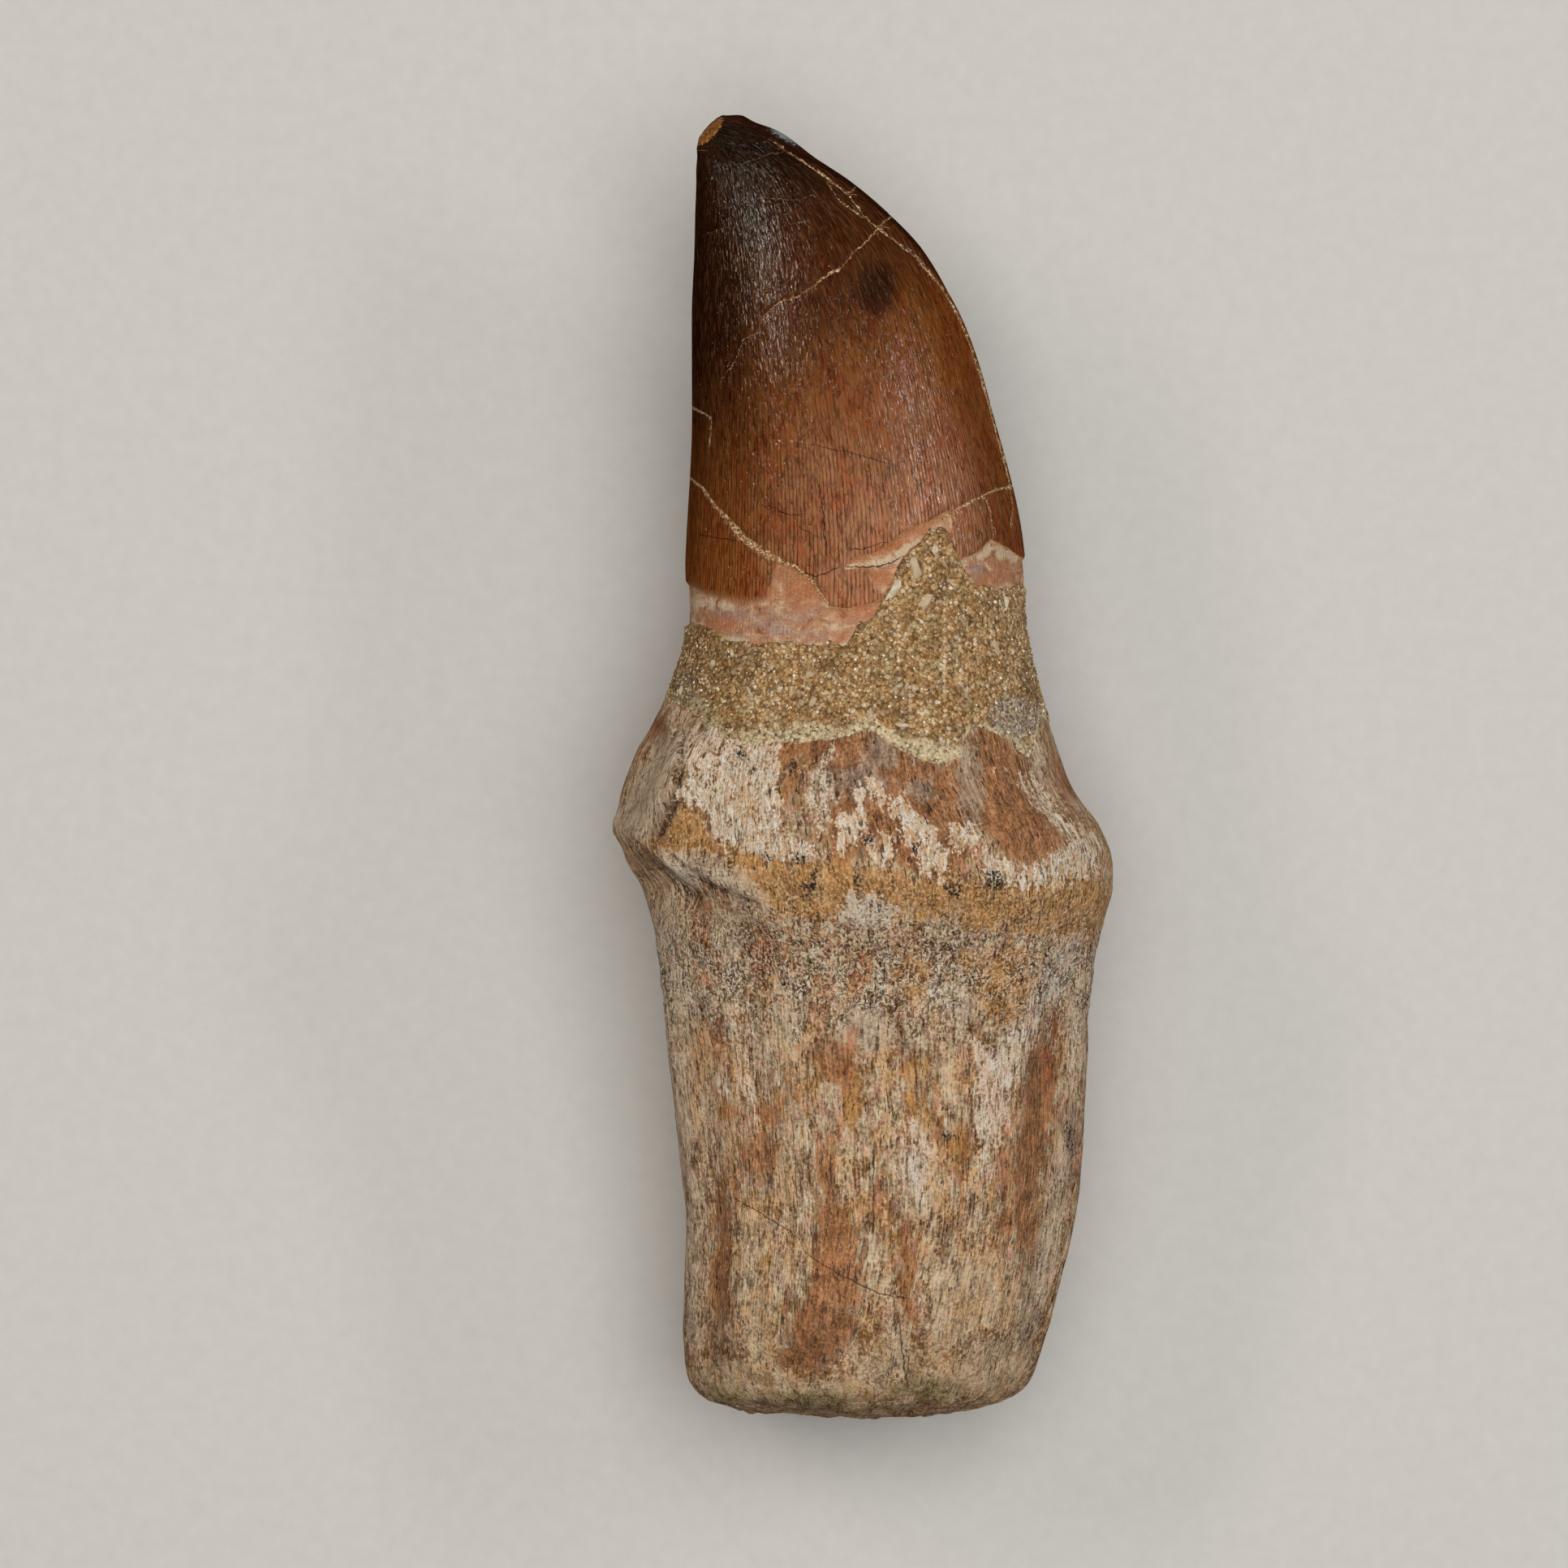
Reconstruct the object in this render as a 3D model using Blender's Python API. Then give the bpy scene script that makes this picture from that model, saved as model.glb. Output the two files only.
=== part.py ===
"""Fossil mosasaur tooth with its root, lying on its flatter side, and the sandy matrix round its neck.

Run with: blender --background --python part.py

Axes: +X is the side that the convex edge of the crown faces, +Y points along the tooth to its tip,
+Z is up. The origin is on the surface that the tooth lies on, under the middle of its bounding box.
All sizes below are millimetres, and the meshes are made in metres.
"""

import math

import bmesh
import bpy
import numpy as np

MM = 0.001

# Overall sizes
TOOTH_LENGTH = 110.0
TOOTH_WIDTH = 42.4
TOOTH_DEPTH = 35.5

# Matrix collar: a band of sandstone that fills a groove round the neck of the tooth
COLLAR_THICKNESS = 1.8
COLLAR_SET_BACK = 0.15
GLUE_GAP = 0.3
GROOVE_WALL_RUN = 0.2  # how far the groove's walls slope along the tooth

# How finely the surfaces are divided
COLUMNS = 72
CROWN_ROWS = 20
COLLAR_ROWS = 8
COLLAR_INNER_ROWS = 2
ROOT_ROWS = 28
FLOOR_ROWS = 2
END_FACE_RINGS = 3
ROWS_TO_THE_ENDS = 0.5  # how strongly the root's rows crowd towards its rim and its swelling
HALVINGS = 20

# Outline seen from above: left edge (x, y) and right edge (x, y) of each section, from the broken
# end of the root to the worn tip. The sections turn with the crown, which leans to the left.
HALF_WIDTH = TOOTH_WIDTH / 2
HALF_LENGTH = TOOTH_LENGTH / 2
OUTLINE = (
    (-10.8, -54.3, 9.0, -54.3),
    (-13.4, -53.4, 12.3, -53.4),
    (-14.9, -51.5, 14.2, -51.7),
    (-15.2, -48.4, 15.2, -48.4),
    (-15.0, -42.2, 16.6, -42.8),
    (-14.9, -38.1, 17.7, -38.1),
    (-15.4, -33.3, 18.3, -33.3),
    (-16.8, -21.0, 19.0, -21.0),
    (-17.6, -14.8, 19.7, -15.4),
    (-18.7, -10.2, 20.6, -12.0),
    (-20.3, -7.1, HALF_WIDTH, -9.3),
    (-20.65, -4.5, 21.0, -7.1),
    (-20.6, -2.4, 20.1, -4.9),
    (-19.5, 1.0, 17.7, -1.4),
    (-18.0, 3.7, 16.3, 2.3),
    (-16.1, 7.8, 14.9, 7.1),
    (-15.0, 11.9, 13.8, 11.9),
    (-14.6, 19.5, 13.1, 19.5),
    (-14.1, 30.4, 10.5, 30.4),
    (-14.1, 38.0, 8.3, 37.7),
    (-13.9, 43.6, 5.2, 43.6),
    (-13.8, 47.0, 2.1, 46.9),
    (-13.7, 49.7, -1.0, 49.5),
    (-13.8, 51.3, -3.9, 51.4),
    (-14.0, 52.3, -7.6, 53.9),
    (-13.9, 52.8, -11.8, HALF_LENGTH),
)
# Outline seen from the side: height of the top, of the widest line and of the underside at each y.
# The tooth rests on its swelling and near the end of its root. What would lie below 0 is worn flat.
PROFILE = (
    (-54.3, 22.0, 13.0, 3.8),
    (-53.4, 24.4, 13.1, 1.9),
    (-51.6, 26.2, 13.4, 0.1),
    (-48.4, 27.4, 13.8, -0.6),
    (-42.5, 28.5, 14.3, -0.5),
    (-38.0, 29.0, 14.7, 0.1),
    (-27.0, 30.1, 15.5, 1.2),
    (-17.5, 31.8, 16.5, 1.1),
    (-12.5, 34.0, 17.1, 0.3),
    (-9.0, TOOTH_DEPTH, 17.5, -0.5),
    (-5.5, 35.3, 17.8, -0.5),
    (-2.5, 34.7, 18.2, 0.4),
    (2.0, 33.5, 18.8, 3.0),
    (7.5, 32.4, 19.4, 6.0),
    (12.0, 32.0, 19.8, 7.4),
    (19.5, 32.0, 20.2, 8.4),
    (30.4, 31.4, 21.0, 10.4),
    (38.0, 30.4, 21.7, 12.8),
    (43.6, 29.3, 22.3, 15.2),
    (47.0, 28.3, 22.7, 17.3),
    (50.5, 26.9, 23.2, 19.7),
    (53.0, 25.6, 23.6, 21.8),
    (53.9, 25.0, 23.7, 22.5),
)
ROOT_ROUNDNESS = 2.15  # superellipse exponent of the sections; 2 is an ellipse
CROWN_ROUNDNESS = 2.0
TIP_LEAN = 0.34  # the worn facet of the tip is turned up by the angle with this tangent
TIP_LEAN_LENGTH = 6.0
END_DOME = 0.7  # how far the middle of the root's broken end stands out

# Borders of the matrix round the neck, as (degrees round the section, y). 0 is the right edge,
# 90 the top, 180 the left edge and 270 the underside.
UPPER_BORDER = (
    (0, 15.4), (12, 15.3), (34, 15.0), (46, 15.7), (52, 17.4), (57, 20.0), (62, 19.9), (67, 18.7),
    (75, 16.7), (79, 15.0), (84, 12.9), (90, 11.6), (93, 10.4), (108, 10.4), (136, 10.6),
    (149, 11.5), (168, 12.2), (180, 12.2), (205, 11.6), (230, 13.0), (250, 12.4), (268, 13.8),
    (285, 15.8), (300, 14.6), (320, 13.2), (340, 14.6),
)
LOWER_BORDER = (
    (0, 4.2), (18, 4.5), (26, 2.8), (33, 1.4), (37, 1.6), (40, 2.8), (47, 3.2), (54, 3.5), (58, 3.0),
    (61, 1.2), (68, 0.7), (74, 1.4), (79, 1.9), (83, 2.8), (87, 3.7), (91, 3.1), (96, 2.6),
    (111, 2.4), (126, 3.0), (130, 3.7), (148, 5.0), (164, 5.7), (180, 6.2), (200, 5.0), (220, 3.4),
    (240, 4.4), (262, 3.0), (280, 4.6), (300, 3.6), (320, 2.6), (340, 3.6),
)

# Cutting edges of the crown: low keels, at these degrees round the section
KEEL_HEIGHT = 0.45
KEEL_WIDTH_DEG = 7.0
FRONT_KEEL = ((15.0, 6.0), (30.0, 8.0), (37.0, 14.0), (43.0, 26.0), (49.0, 36.0), (54.0, 50.0))
BACK_KEEL_DEG = 186.0

# Relief of the swelling and the root
SHOULDER_RIDGE = ((-6.5, 149.0), (-1.5, 141.0), (3.3, 132.0))  # (y, degrees)
SHOULDER_RIDGE_HEIGHT = 0.9
SHOULDER_FACE_DEPTH = 0.5
LIP = ((-20.0, -5.4), (-17.3, -7.0), (-13.5, -8.6), (-10.0, -10.8), (-7.0, -12.5), (0.0, -14.0))
LIP_HEIGHT = 0.8
LIP_HOLLOW_DEPTH = 1.5
RIGHT_TROUGH = ((-7.0, 36.0), (2.0, 33.0))  # (y, degrees)
RIGHT_TROUGH_DEPTH = 0.5
FLUTES = ((7, 0.4, 0.9), (12, 2.1, -0.6))  # how many round the root, phase and twist of each set
FLUTE_DEPTH = 0.25
PEELED_PATCH = ((-43.0, 14.0), (-20.0, 15.4))  # (y, x) along the middle of the patch
PEELED_PATCH_WIDTH = 1.9
PEELED_PATCH_DEPTH = 0.55
UNDERSIDE_LUMP = 0.8
UNDERSIDE_HOLLOW = 0.8

COLOURS = {
    "tooth": ((0.36, 0.22, 0.12), 0.6),
    "matrix_collar": ((0.40, 0.28, 0.13), 0.9),
}


def clear_scene():
    for obj in list(bpy.data.objects):
        bpy.data.objects.remove(obj, do_unlink=True)


def smooth_through(knots, values, at):
    """Monotone cubic curve through the knots. It never passes beyond them, so stated sizes hold."""
    knots, values = np.asarray(knots, float), np.asarray(values, float)
    step = np.diff(knots)
    slope = np.diff(values) / step
    before, after = slope[:-1], slope[1:]
    turning = before * after <= 0
    safe_before = np.where(turning, 1.0, before)
    safe_after = np.where(turning, 1.0, after)
    near, far = 2 * step[1:] + step[:-1], step[1:] + 2 * step[:-1]
    inner = np.where(turning, 0.0, (near + far) / (near / safe_before + far / safe_after))
    tangent = np.concatenate([slope[:1], inner, slope[-1:]])
    i = np.clip(np.searchsorted(knots, at, side="right") - 1, 0, len(step) - 1)
    u = (at - knots[i]) / step[i]
    return (
        (1 + 2 * u) * (1 - u) ** 2 * values[i]
        + u * (1 - u) ** 2 * step[i] * tangent[i]
        + u * u * (3 - 2 * u) * values[i + 1]
        + u * u * (u - 1) * step[i] * tangent[i + 1]
    )


def round_the_section(points, angle):
    """A closed curve of y against the angle round the section, through (degrees, y) points."""
    degrees, heights = np.array(points, float).T
    degrees = np.concatenate([degrees[-2:] - 360, degrees, degrees[:2] + 360])
    heights = np.concatenate([heights[-2:], heights, heights[:2]])
    return smooth_through(degrees, heights, np.degrees(angle) % 360)


def hump(value, centre, half_width):
    """A smooth hill, 1 high at its centre."""
    return np.exp(-(((value - centre) / half_width) ** 2))


def step_up(value, start, end):
    """0 before start, 1 after end, and a smooth rise between them."""
    u = np.clip((value - start) / (end - start), 0, 1)
    return u * u * (3 - 2 * u)


def section_distances():
    """Distance of each section of the outline along the middle line of the tooth."""
    table = np.array(OUTLINE)
    middle = (table[:, 0:2] + table[:, 2:4]) / 2
    return np.concatenate([[0], np.cumsum(np.linalg.norm(np.diff(middle, axis=0), axis=1))])


ALONG = section_distances()
TIP = ALONG[-1]


def signed_power(value, power):
    return np.sign(value) * np.abs(value) ** power


def line_through(points, at):
    """Smooth curve through (place, value) points, level past its ends."""
    knots, values = np.array(points).T
    return smooth_through(knots, values, np.clip(at, knots[0], knots[-1]))


def keels(degrees, y):
    """The crown's two cutting edges."""
    on_crown = step_up(y, 12, 18) * (1 - step_up(y, 50, 53))
    front = hump(degrees, line_through(FRONT_KEEL, y), KEEL_WIDTH_DEG)
    back = hump(degrees, BACK_KEEL_DEG, KEEL_WIDTH_DEG)
    return KEEL_HEIGHT * on_crown * (front + back)


def shoulder(degrees, y):
    """A ridge down the left shoulder of the swelling, with flatter faces on both sides of it, and
    a trough down the right shoulder."""
    ridge = line_through(SHOULDER_RIDGE, y)
    height = SHOULDER_RIDGE_HEIGHT * hump(degrees, ridge, 9)
    height -= SHOULDER_FACE_DEPTH * (hump(degrees, ridge + 20, 10) + hump(degrees, ridge - 19, 11))
    height *= hump(y, -1.2, 6.0)
    trough = hump(degrees, line_through(RIGHT_TROUGH, y), 7) * hump(y, -2.5, 5.0)
    return height - RIGHT_TROUGH_DEPTH * trough


def lip(x, y):
    """A lip that runs down to the right from the left shoulder, with a hollow under its left part."""
    line = line_through(LIP, x)
    fade = 1 - step_up(x, -10, 0)
    hollow = hump(x, -16.5, 4.2) * hump(y, line - 3.0, 2.0)
    return LIP_HEIGHT * fade * hump(y, line + 0.4, 1.5) - LIP_HOLLOW_DEPTH * hollow


def flutes(angle, y):
    """Shallow flutes along the root. They fade out at the swelling and at the broken end."""
    on_root = (1 - step_up(y, -19, -10)) * step_up(y, -54, -46)
    waves = sum(np.cos(count * angle + phase + twist * y / 18) for count, phase, twist in FLUTES)
    return FLUTE_DEPTH * on_root * waves


def peeled_patch(x, y):
    """A long patch on the right of the root where the outer layer of bone is missing."""
    across = hump(x, line_through(PEELED_PATCH, y), PEELED_PATCH_WIDTH)
    (lower_end, _), (upper_end, _) = PEELED_PATCH
    length = step_up(y, lower_end, lower_end + 5) * (1 - step_up(y, upper_end - 5, upper_end))
    return -PEELED_PATCH_DEPTH * across * length


def underside(degrees, y):
    """One lump and one hollow in the bone of the side that the tooth lies on."""
    lump = UNDERSIDE_LUMP * hump(degrees, 222, 12) * hump(y, -1.0, 5.0)
    return lump - UNDERSIDE_HOLLOW * hump(degrees, 318, 15) * hump(y, -12.0, 5.5)


def relief(angle, x, y, z):
    """Height of the surface features over the plain section, by place."""
    degrees = np.degrees(angle) % 360
    upper_side = step_up(z, 15, 20)
    lower_side = 1 - step_up(z, 8, 14)
    height = keels(degrees, y) + flutes(angle, y)
    height += upper_side * (shoulder(degrees, y) + lip(x, y) + peeled_patch(x, y))
    return height + lower_side * underside(degrees, y)


def envelope(angle, along, inset=0.0):
    """Points of the tooth's outer surface, as (..., 3).

    The section at each place along the tooth is a superellipse between the left and right edges,
    with its own height above and below them. The relief and the inset move a point along the line
    from the middle of its section, and what would lie under the resting surface is worn flat."""
    edges = np.array(OUTLINE).T
    left = np.stack([smooth_through(ALONG, edge, along) for edge in edges[0:2]], -1)
    right = np.stack([smooth_through(ALONG, edge, along) for edge in edges[2:4]], -1)
    centre = (left + right) / 2
    half = (right - left) / 2
    y_knots, *heights = np.array(PROFILE).T
    centre_y = np.clip(centre[..., 1], y_knots[0], y_knots[-1])
    top, waist, bottom = (smooth_through(y_knots, values, centre_y) for values in heights)

    crown = step_up(centre[..., 1], 5, 18)
    power = 2 / (ROOT_ROUNDNESS + (CROWN_ROUNDNESS - ROOT_ROUNDNESS) * crown)
    across = signed_power(np.cos(angle), power)
    rise = signed_power(np.sin(angle), power)
    height = np.where(rise > 0, top - waist, waist - bottom)
    points = np.empty(np.broadcast(angle, along).shape + (3,))
    points[..., :2] = centre + half * across[..., None]
    points[..., 2] = waist + height * rise

    # Near the tip the sections lean, so that the worn facet faces partly up
    lean = TIP_LEAN * step_up(along, TIP - TIP_LEAN_LENGTH, TIP)
    tipward = np.stack([-half[..., 1], half[..., 0]], -1)
    tipward /= np.linalg.norm(tipward, axis=-1, keepdims=True)
    points[..., :2] -= tipward * (lean * height * rise)[..., None]

    middle = np.concatenate([centre, waist[..., None]], -1)
    outward = points - middle
    outward /= np.linalg.norm(outward, axis=-1, keepdims=True)
    raised = relief(angle, *np.moveaxis(points, -1, 0)) - inset
    points = points + outward * raised[..., None]
    points[..., 2] = np.maximum(points[..., 2], 0)
    return points


def along_at(angle, y):
    """Where the surface line at each angle reaches y, by halving the interval again and again."""
    low, high = np.zeros_like(angle), np.full_like(angle, TIP)
    for _ in range(HALVINGS):
        middle = (low + high) / 2
        below = envelope(angle, middle)[..., 1] < y
        low, high = np.where(below, middle, low), np.where(below, high, middle)
    return low


def grid_rows(start, end, count, to_the_ends=0.0):
    """Rows of places along the tooth between two borders, each an array round the section."""
    even = np.linspace(0, 1, count + 1)
    crowded = (1 - np.cos(math.pi * even)) / 2
    shares = even + (crowded - even) * to_the_ends
    return [start + (end - start) * share for share in shares]


def closed_mesh(name, rings, close_ring=False):
    """Skins rings of points. The first and last ring are filled, or joined if close_ring is set."""
    bm = bmesh.new()
    loops = [[bm.verts.new(point * MM) for point in ring] for ring in rings]
    pairs = list(zip(loops[:-1], loops[1:]))
    if close_ring:
        pairs.append((loops[-1], loops[0]))
    for lower, upper in pairs:
        for i, vert in enumerate(lower):
            after = (i + 1) % len(lower)
            bm.faces.new((vert, lower[after], upper[after], upper[i]))
    if not close_ring:
        for loop in (loops[0], loops[-1]):
            hub = bm.verts.new(sum((v.co for v in loop), start=loop[0].co * 0) / len(loop))
            for i, vert in enumerate(loop):
                bm.faces.new((vert, loop[(i + 1) % len(loop)], hub))
    bmesh.ops.recalc_face_normals(bm, faces=bm.faces)
    bmesh.ops.triangulate(bm, faces=bm.faces)
    mesh = bpy.data.meshes.new(name)
    bm.to_mesh(mesh)
    bm.free()
    mesh.shade_smooth()
    mesh.set_sharp_from_angle(angle=math.radians(50))
    return mesh


def material_for(name):
    colour, roughness = COLOURS[name]
    material = bpy.data.materials.new(name)
    material.use_nodes = True
    shader = material.node_tree.nodes["Principled BSDF"]
    shader.inputs["Base Color"].default_value = (*colour, 1)
    shader.inputs["Roughness"].default_value = roughness
    shader.inputs["Metallic"].default_value = 0.0
    return material


def add_object(name, mesh, collection):
    obj = bpy.data.objects.new(name, mesh)
    mesh.materials.append(material_for(name))
    collection.objects.link(obj)


def broken_end(rim):
    """Rings from the middle of the root's end out to its rim. The middle stands out a little."""
    middle = rim.mean(axis=0)
    shares = np.linspace(0, 1, END_FACE_RINGS + 2)[1:-1]
    outward = np.array((0, -END_DOME, 0))
    return [middle + (rim - middle) * share + outward * (1 - share**2) for share in shares]


def build_tooth(angle, upper, lower, collection):
    """Root, neck with the groove for the matrix, and crown, as one solid."""
    root_end = np.zeros_like(angle)
    tip = np.full_like(angle, TIP)
    depth = COLLAR_THICKNESS + COLLAR_SET_BACK + GLUE_GAP
    root_rows = grid_rows(root_end, lower, ROOT_ROWS, ROWS_TO_THE_ENDS)
    floor_rows = grid_rows(lower + GROOVE_WALL_RUN, upper - GROOVE_WALL_RUN, FLOOR_ROWS)
    crown_rows = grid_rows(upper, tip, CROWN_ROWS)
    root = [envelope(angle, row) for row in root_rows]
    groove_floor = [envelope(angle, row, inset=depth) for row in floor_rows]
    crown = [envelope(angle, row) for row in crown_rows]
    mesh = closed_mesh("tooth", broken_end(root[0]) + root + groove_floor + crown)
    add_object("tooth", mesh, collection)


def build_collar(angle, upper, lower, collection):
    """The band of sandstone, closed on its inner side too. Its edges clear the groove's walls."""
    start, end = lower + GLUE_GAP, upper - GLUE_GAP
    outer_rows = grid_rows(start, end, COLLAR_ROWS)
    inner_rows = grid_rows(end - GROOVE_WALL_RUN, start + GROOVE_WALL_RUN, COLLAR_INNER_ROWS)
    outer = [envelope(angle, row, inset=COLLAR_SET_BACK) for row in outer_rows]
    inner = [envelope(angle, row, inset=COLLAR_SET_BACK + COLLAR_THICKNESS) for row in inner_rows]
    mesh = closed_mesh("matrix_collar", outer + inner, close_ring=True)
    add_object("matrix_collar", mesh, collection)


def main():
    clear_scene()
    collection = bpy.data.collections.new("fossil_tooth")
    bpy.context.scene.collection.children.link(collection)
    angle = np.linspace(0, 2 * math.pi, COLUMNS, endpoint=False)
    upper = along_at(angle, round_the_section(UPPER_BORDER, angle))
    lower = along_at(angle, round_the_section(LOWER_BORDER, angle))
    build_tooth(angle, upper, lower, collection)
    build_collar(angle, upper, lower, collection)


main()
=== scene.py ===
"""Looks of a fossil mosasaur tooth that lies on its side: glossy enamel, porous bone, sandy matrix.

Laid out as a Blender add-on and run as a script. Lengths in the tables are millimetres, marks that
only show from above are in pixels of the photograph, and the meshes are made in metres. A grid has
one row for each place along the tooth and one column for each place round its section.
"""

import functools
import math

import bpy
import numpy as np
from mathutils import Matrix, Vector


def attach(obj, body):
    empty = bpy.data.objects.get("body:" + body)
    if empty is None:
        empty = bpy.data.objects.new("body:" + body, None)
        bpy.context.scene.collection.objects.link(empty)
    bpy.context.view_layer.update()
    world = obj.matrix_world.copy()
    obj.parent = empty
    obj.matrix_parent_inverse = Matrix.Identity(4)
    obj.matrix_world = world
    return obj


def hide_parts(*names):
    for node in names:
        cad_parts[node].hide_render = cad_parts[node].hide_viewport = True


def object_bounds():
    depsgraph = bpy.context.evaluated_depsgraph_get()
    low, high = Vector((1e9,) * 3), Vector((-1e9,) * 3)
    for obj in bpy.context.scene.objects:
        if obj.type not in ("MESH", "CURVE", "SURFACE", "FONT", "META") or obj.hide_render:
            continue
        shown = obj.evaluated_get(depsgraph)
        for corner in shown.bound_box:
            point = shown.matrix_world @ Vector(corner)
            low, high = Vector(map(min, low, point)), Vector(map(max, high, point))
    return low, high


bl_info = {
    "name": "Fossil Mosasaur Tooth",
    "version": (1, 0, 0),
    "blender": (4, 5, 0),
    "location": "View3D > Sidebar > Fossil",
    "description": "Builds the finished surfaces of a fossil tooth over its packed solids",
    "category": "Mesh",
}

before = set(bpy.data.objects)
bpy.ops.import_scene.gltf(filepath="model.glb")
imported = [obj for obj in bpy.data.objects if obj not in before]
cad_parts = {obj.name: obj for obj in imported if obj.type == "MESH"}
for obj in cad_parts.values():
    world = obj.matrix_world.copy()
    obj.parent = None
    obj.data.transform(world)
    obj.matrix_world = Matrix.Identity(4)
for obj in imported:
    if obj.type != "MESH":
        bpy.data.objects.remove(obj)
CAD_BOX = np.array(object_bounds())
INSIDE_BOX = 0.00001  # the finished surfaces end this far inside the solids' box

MM = 0.001

# The photograph: its size, and the scale on the surface that the tooth lies on
PHOTO_SIZE = 1932
PHOTO_SCALE = 14.24  # pixels per mm at height 0
CAMERA_X, CAMERA_Y, CAMERA_HEIGHT = -6.68, -1.1, 775.0
SENSOR_WIDTH = 36.0

# Outline from above: left edge (x, y) and right edge (x, y) of each section, from root end to tip
OUTLINE = (
    (-10.8, -54.3, 9.0, -54.3), (-13.4, -53.4, 12.3, -53.4), (-14.9, -51.5, 14.2, -51.7),
    (-15.2, -48.4, 15.2, -48.4), (-15.0, -42.2, 16.6, -42.8), (-14.9, -38.1, 17.7, -38.1),
    (-15.4, -33.3, 18.3, -33.3), (-16.8, -21.0, 19.0, -21.0), (-17.6, -14.8, 19.7, -15.4),
    (-18.7, -10.2, 20.6, -12.0), (-20.3, -7.1, 21.2, -9.3), (-20.65, -4.5, 21.0, -7.1),
    (-20.6, -2.4, 20.1, -4.9), (-19.5, 1.0, 17.7, -1.4), (-18.0, 3.7, 16.3, 2.3), (-16.1, 7.8, 14.9, 7.1),
    (-15.0, 11.9, 13.8, 11.9), (-14.6, 19.5, 13.1, 19.5), (-14.1, 30.4, 10.5, 30.4),
    (-14.1, 38.0, 8.3, 37.7), (-13.9, 43.6, 5.2, 43.6), (-13.8, 47.0, 2.1, 46.9),
    (-13.7, 49.7, -1.0, 49.5), (-13.8, 51.3, -3.9, 51.4), (-14.0, 52.3, -7.6, 53.9),
    (-13.9, 52.8, -11.8, 55.0),
)
# Outline from the side: y, then height of the top, of the widest line and of the underside
PROFILE = (
    (-54.3, 22.0, 13.0, 3.8), (-53.4, 24.4, 13.1, 1.9), (-51.6, 26.2, 13.4, 0.1),
    (-48.4, 27.4, 13.8, -0.6), (-42.5, 28.5, 14.3, -0.5), (-38.0, 29.0, 14.7, 0.1),
    (-27.0, 30.1, 15.5, 1.2), (-17.5, 31.8, 16.5, 1.1), (-12.5, 34.0, 17.1, 0.3),
    (-9.0, 35.5, 17.5, -0.5), (-5.5, 35.3, 17.8, -0.5), (-2.5, 34.7, 18.2, 0.4), (2.0, 33.5, 18.8, 3.0),
    (7.5, 32.4, 19.4, 6.0), (12.0, 32.0, 19.8, 7.4), (19.5, 32.0, 20.2, 8.4), (30.4, 31.4, 21.0, 10.4),
    (38.0, 30.4, 21.7, 12.8), (43.6, 29.3, 22.3, 15.2), (47.0, 28.3, 22.7, 17.3),
    (50.5, 26.9, 23.2, 19.7), (53.0, 25.6, 23.6, 21.8), (53.9, 25.0, 23.7, 22.5),
)
ROOT_ROUNDNESS, CROWN_ROUNDNESS = 2.15, 2.0
TIP_LEAN, TIP_LEAN_LENGTH = 0.34, 6.0
END_DOME = 0.7

# Borders of the matrix, as (degrees round the section, y): 0 right edge, 90 top, 180 left edge
UPPER_BORDER = (
    (0, 15.4), (12, 15.3), (34, 15.0), (46, 15.7), (52, 17.4), (57, 20.0), (62, 19.9), (67, 18.7),
    (75, 16.7), (79, 15.0), (84, 12.9), (90, 11.6), (93, 10.4), (108, 10.4), (136, 10.6),
    (149, 11.5), (168, 12.2), (180, 12.2), (205, 11.6), (230, 13.0), (250, 12.4), (268, 13.8),
    (285, 15.8), (300, 14.6), (320, 13.2), (340, 14.6),
)
LOWER_BORDER = (
    (0, 4.2), (18, 4.5), (26, 2.8), (33, 1.4), (37, 1.6), (40, 2.8), (47, 3.2), (54, 3.5), (58, 3.0),
    (61, 1.2), (68, 0.7), (74, 1.4), (79, 1.9), (83, 2.8), (87, 3.7), (91, 3.1), (96, 2.6),
    (111, 2.4), (126, 3.0), (130, 3.7), (148, 5.0), (164, 5.7), (180, 6.2), (200, 5.0), (220, 3.4),
    (240, 4.4), (262, 3.0), (280, 4.6), (300, 3.6), (320, 2.6), (340, 3.6),
)

# Keels of the crown and large relief of the root, as in the solid
KEEL_HEIGHT, KEEL_WIDTH_DEG = 0.45, 7.0
FRONT_KEEL = ((15.0, 6.0), (30.0, 8.0), (37.0, 14.0), (43.0, 26.0), (49.0, 36.0), (54.0, 50.0))
BACK_KEEL_DEG = 186.0
SHOULDER_RIDGE = ((-6.5, 149.0), (-1.5, 141.0), (3.3, 132.0))
SHOULDER_RIDGE_HEIGHT, SHOULDER_FACE_DEPTH = 0.9, 0.5
LIP = ((-20.0, -5.4), (-17.3, -7.0), (-13.5, -8.6), (-10.0, -10.8), (-7.0, -12.5), (0.0, -14.0))
LIP_HEIGHT, LIP_HOLLOW_DEPTH = 0.8, 1.5
RIGHT_TROUGH, RIGHT_TROUGH_DEPTH = ((-7.0, 36.0), (2.0, 33.0)), 0.5
FLUTES, FLUTE_DEPTH = ((7, 0.4, 0.9), (12, 2.1, -0.6)), 0.25
PEELED_PATCH = ((-43.0, 14.0), (-20.0, 15.4))
PEELED_PATCH_WIDTH, PEELED_PATCH_DEPTH = 1.9, 0.55
UNDERSIDE_LUMP, UNDERSIDE_HOLLOW = 0.8, 0.8

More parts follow.
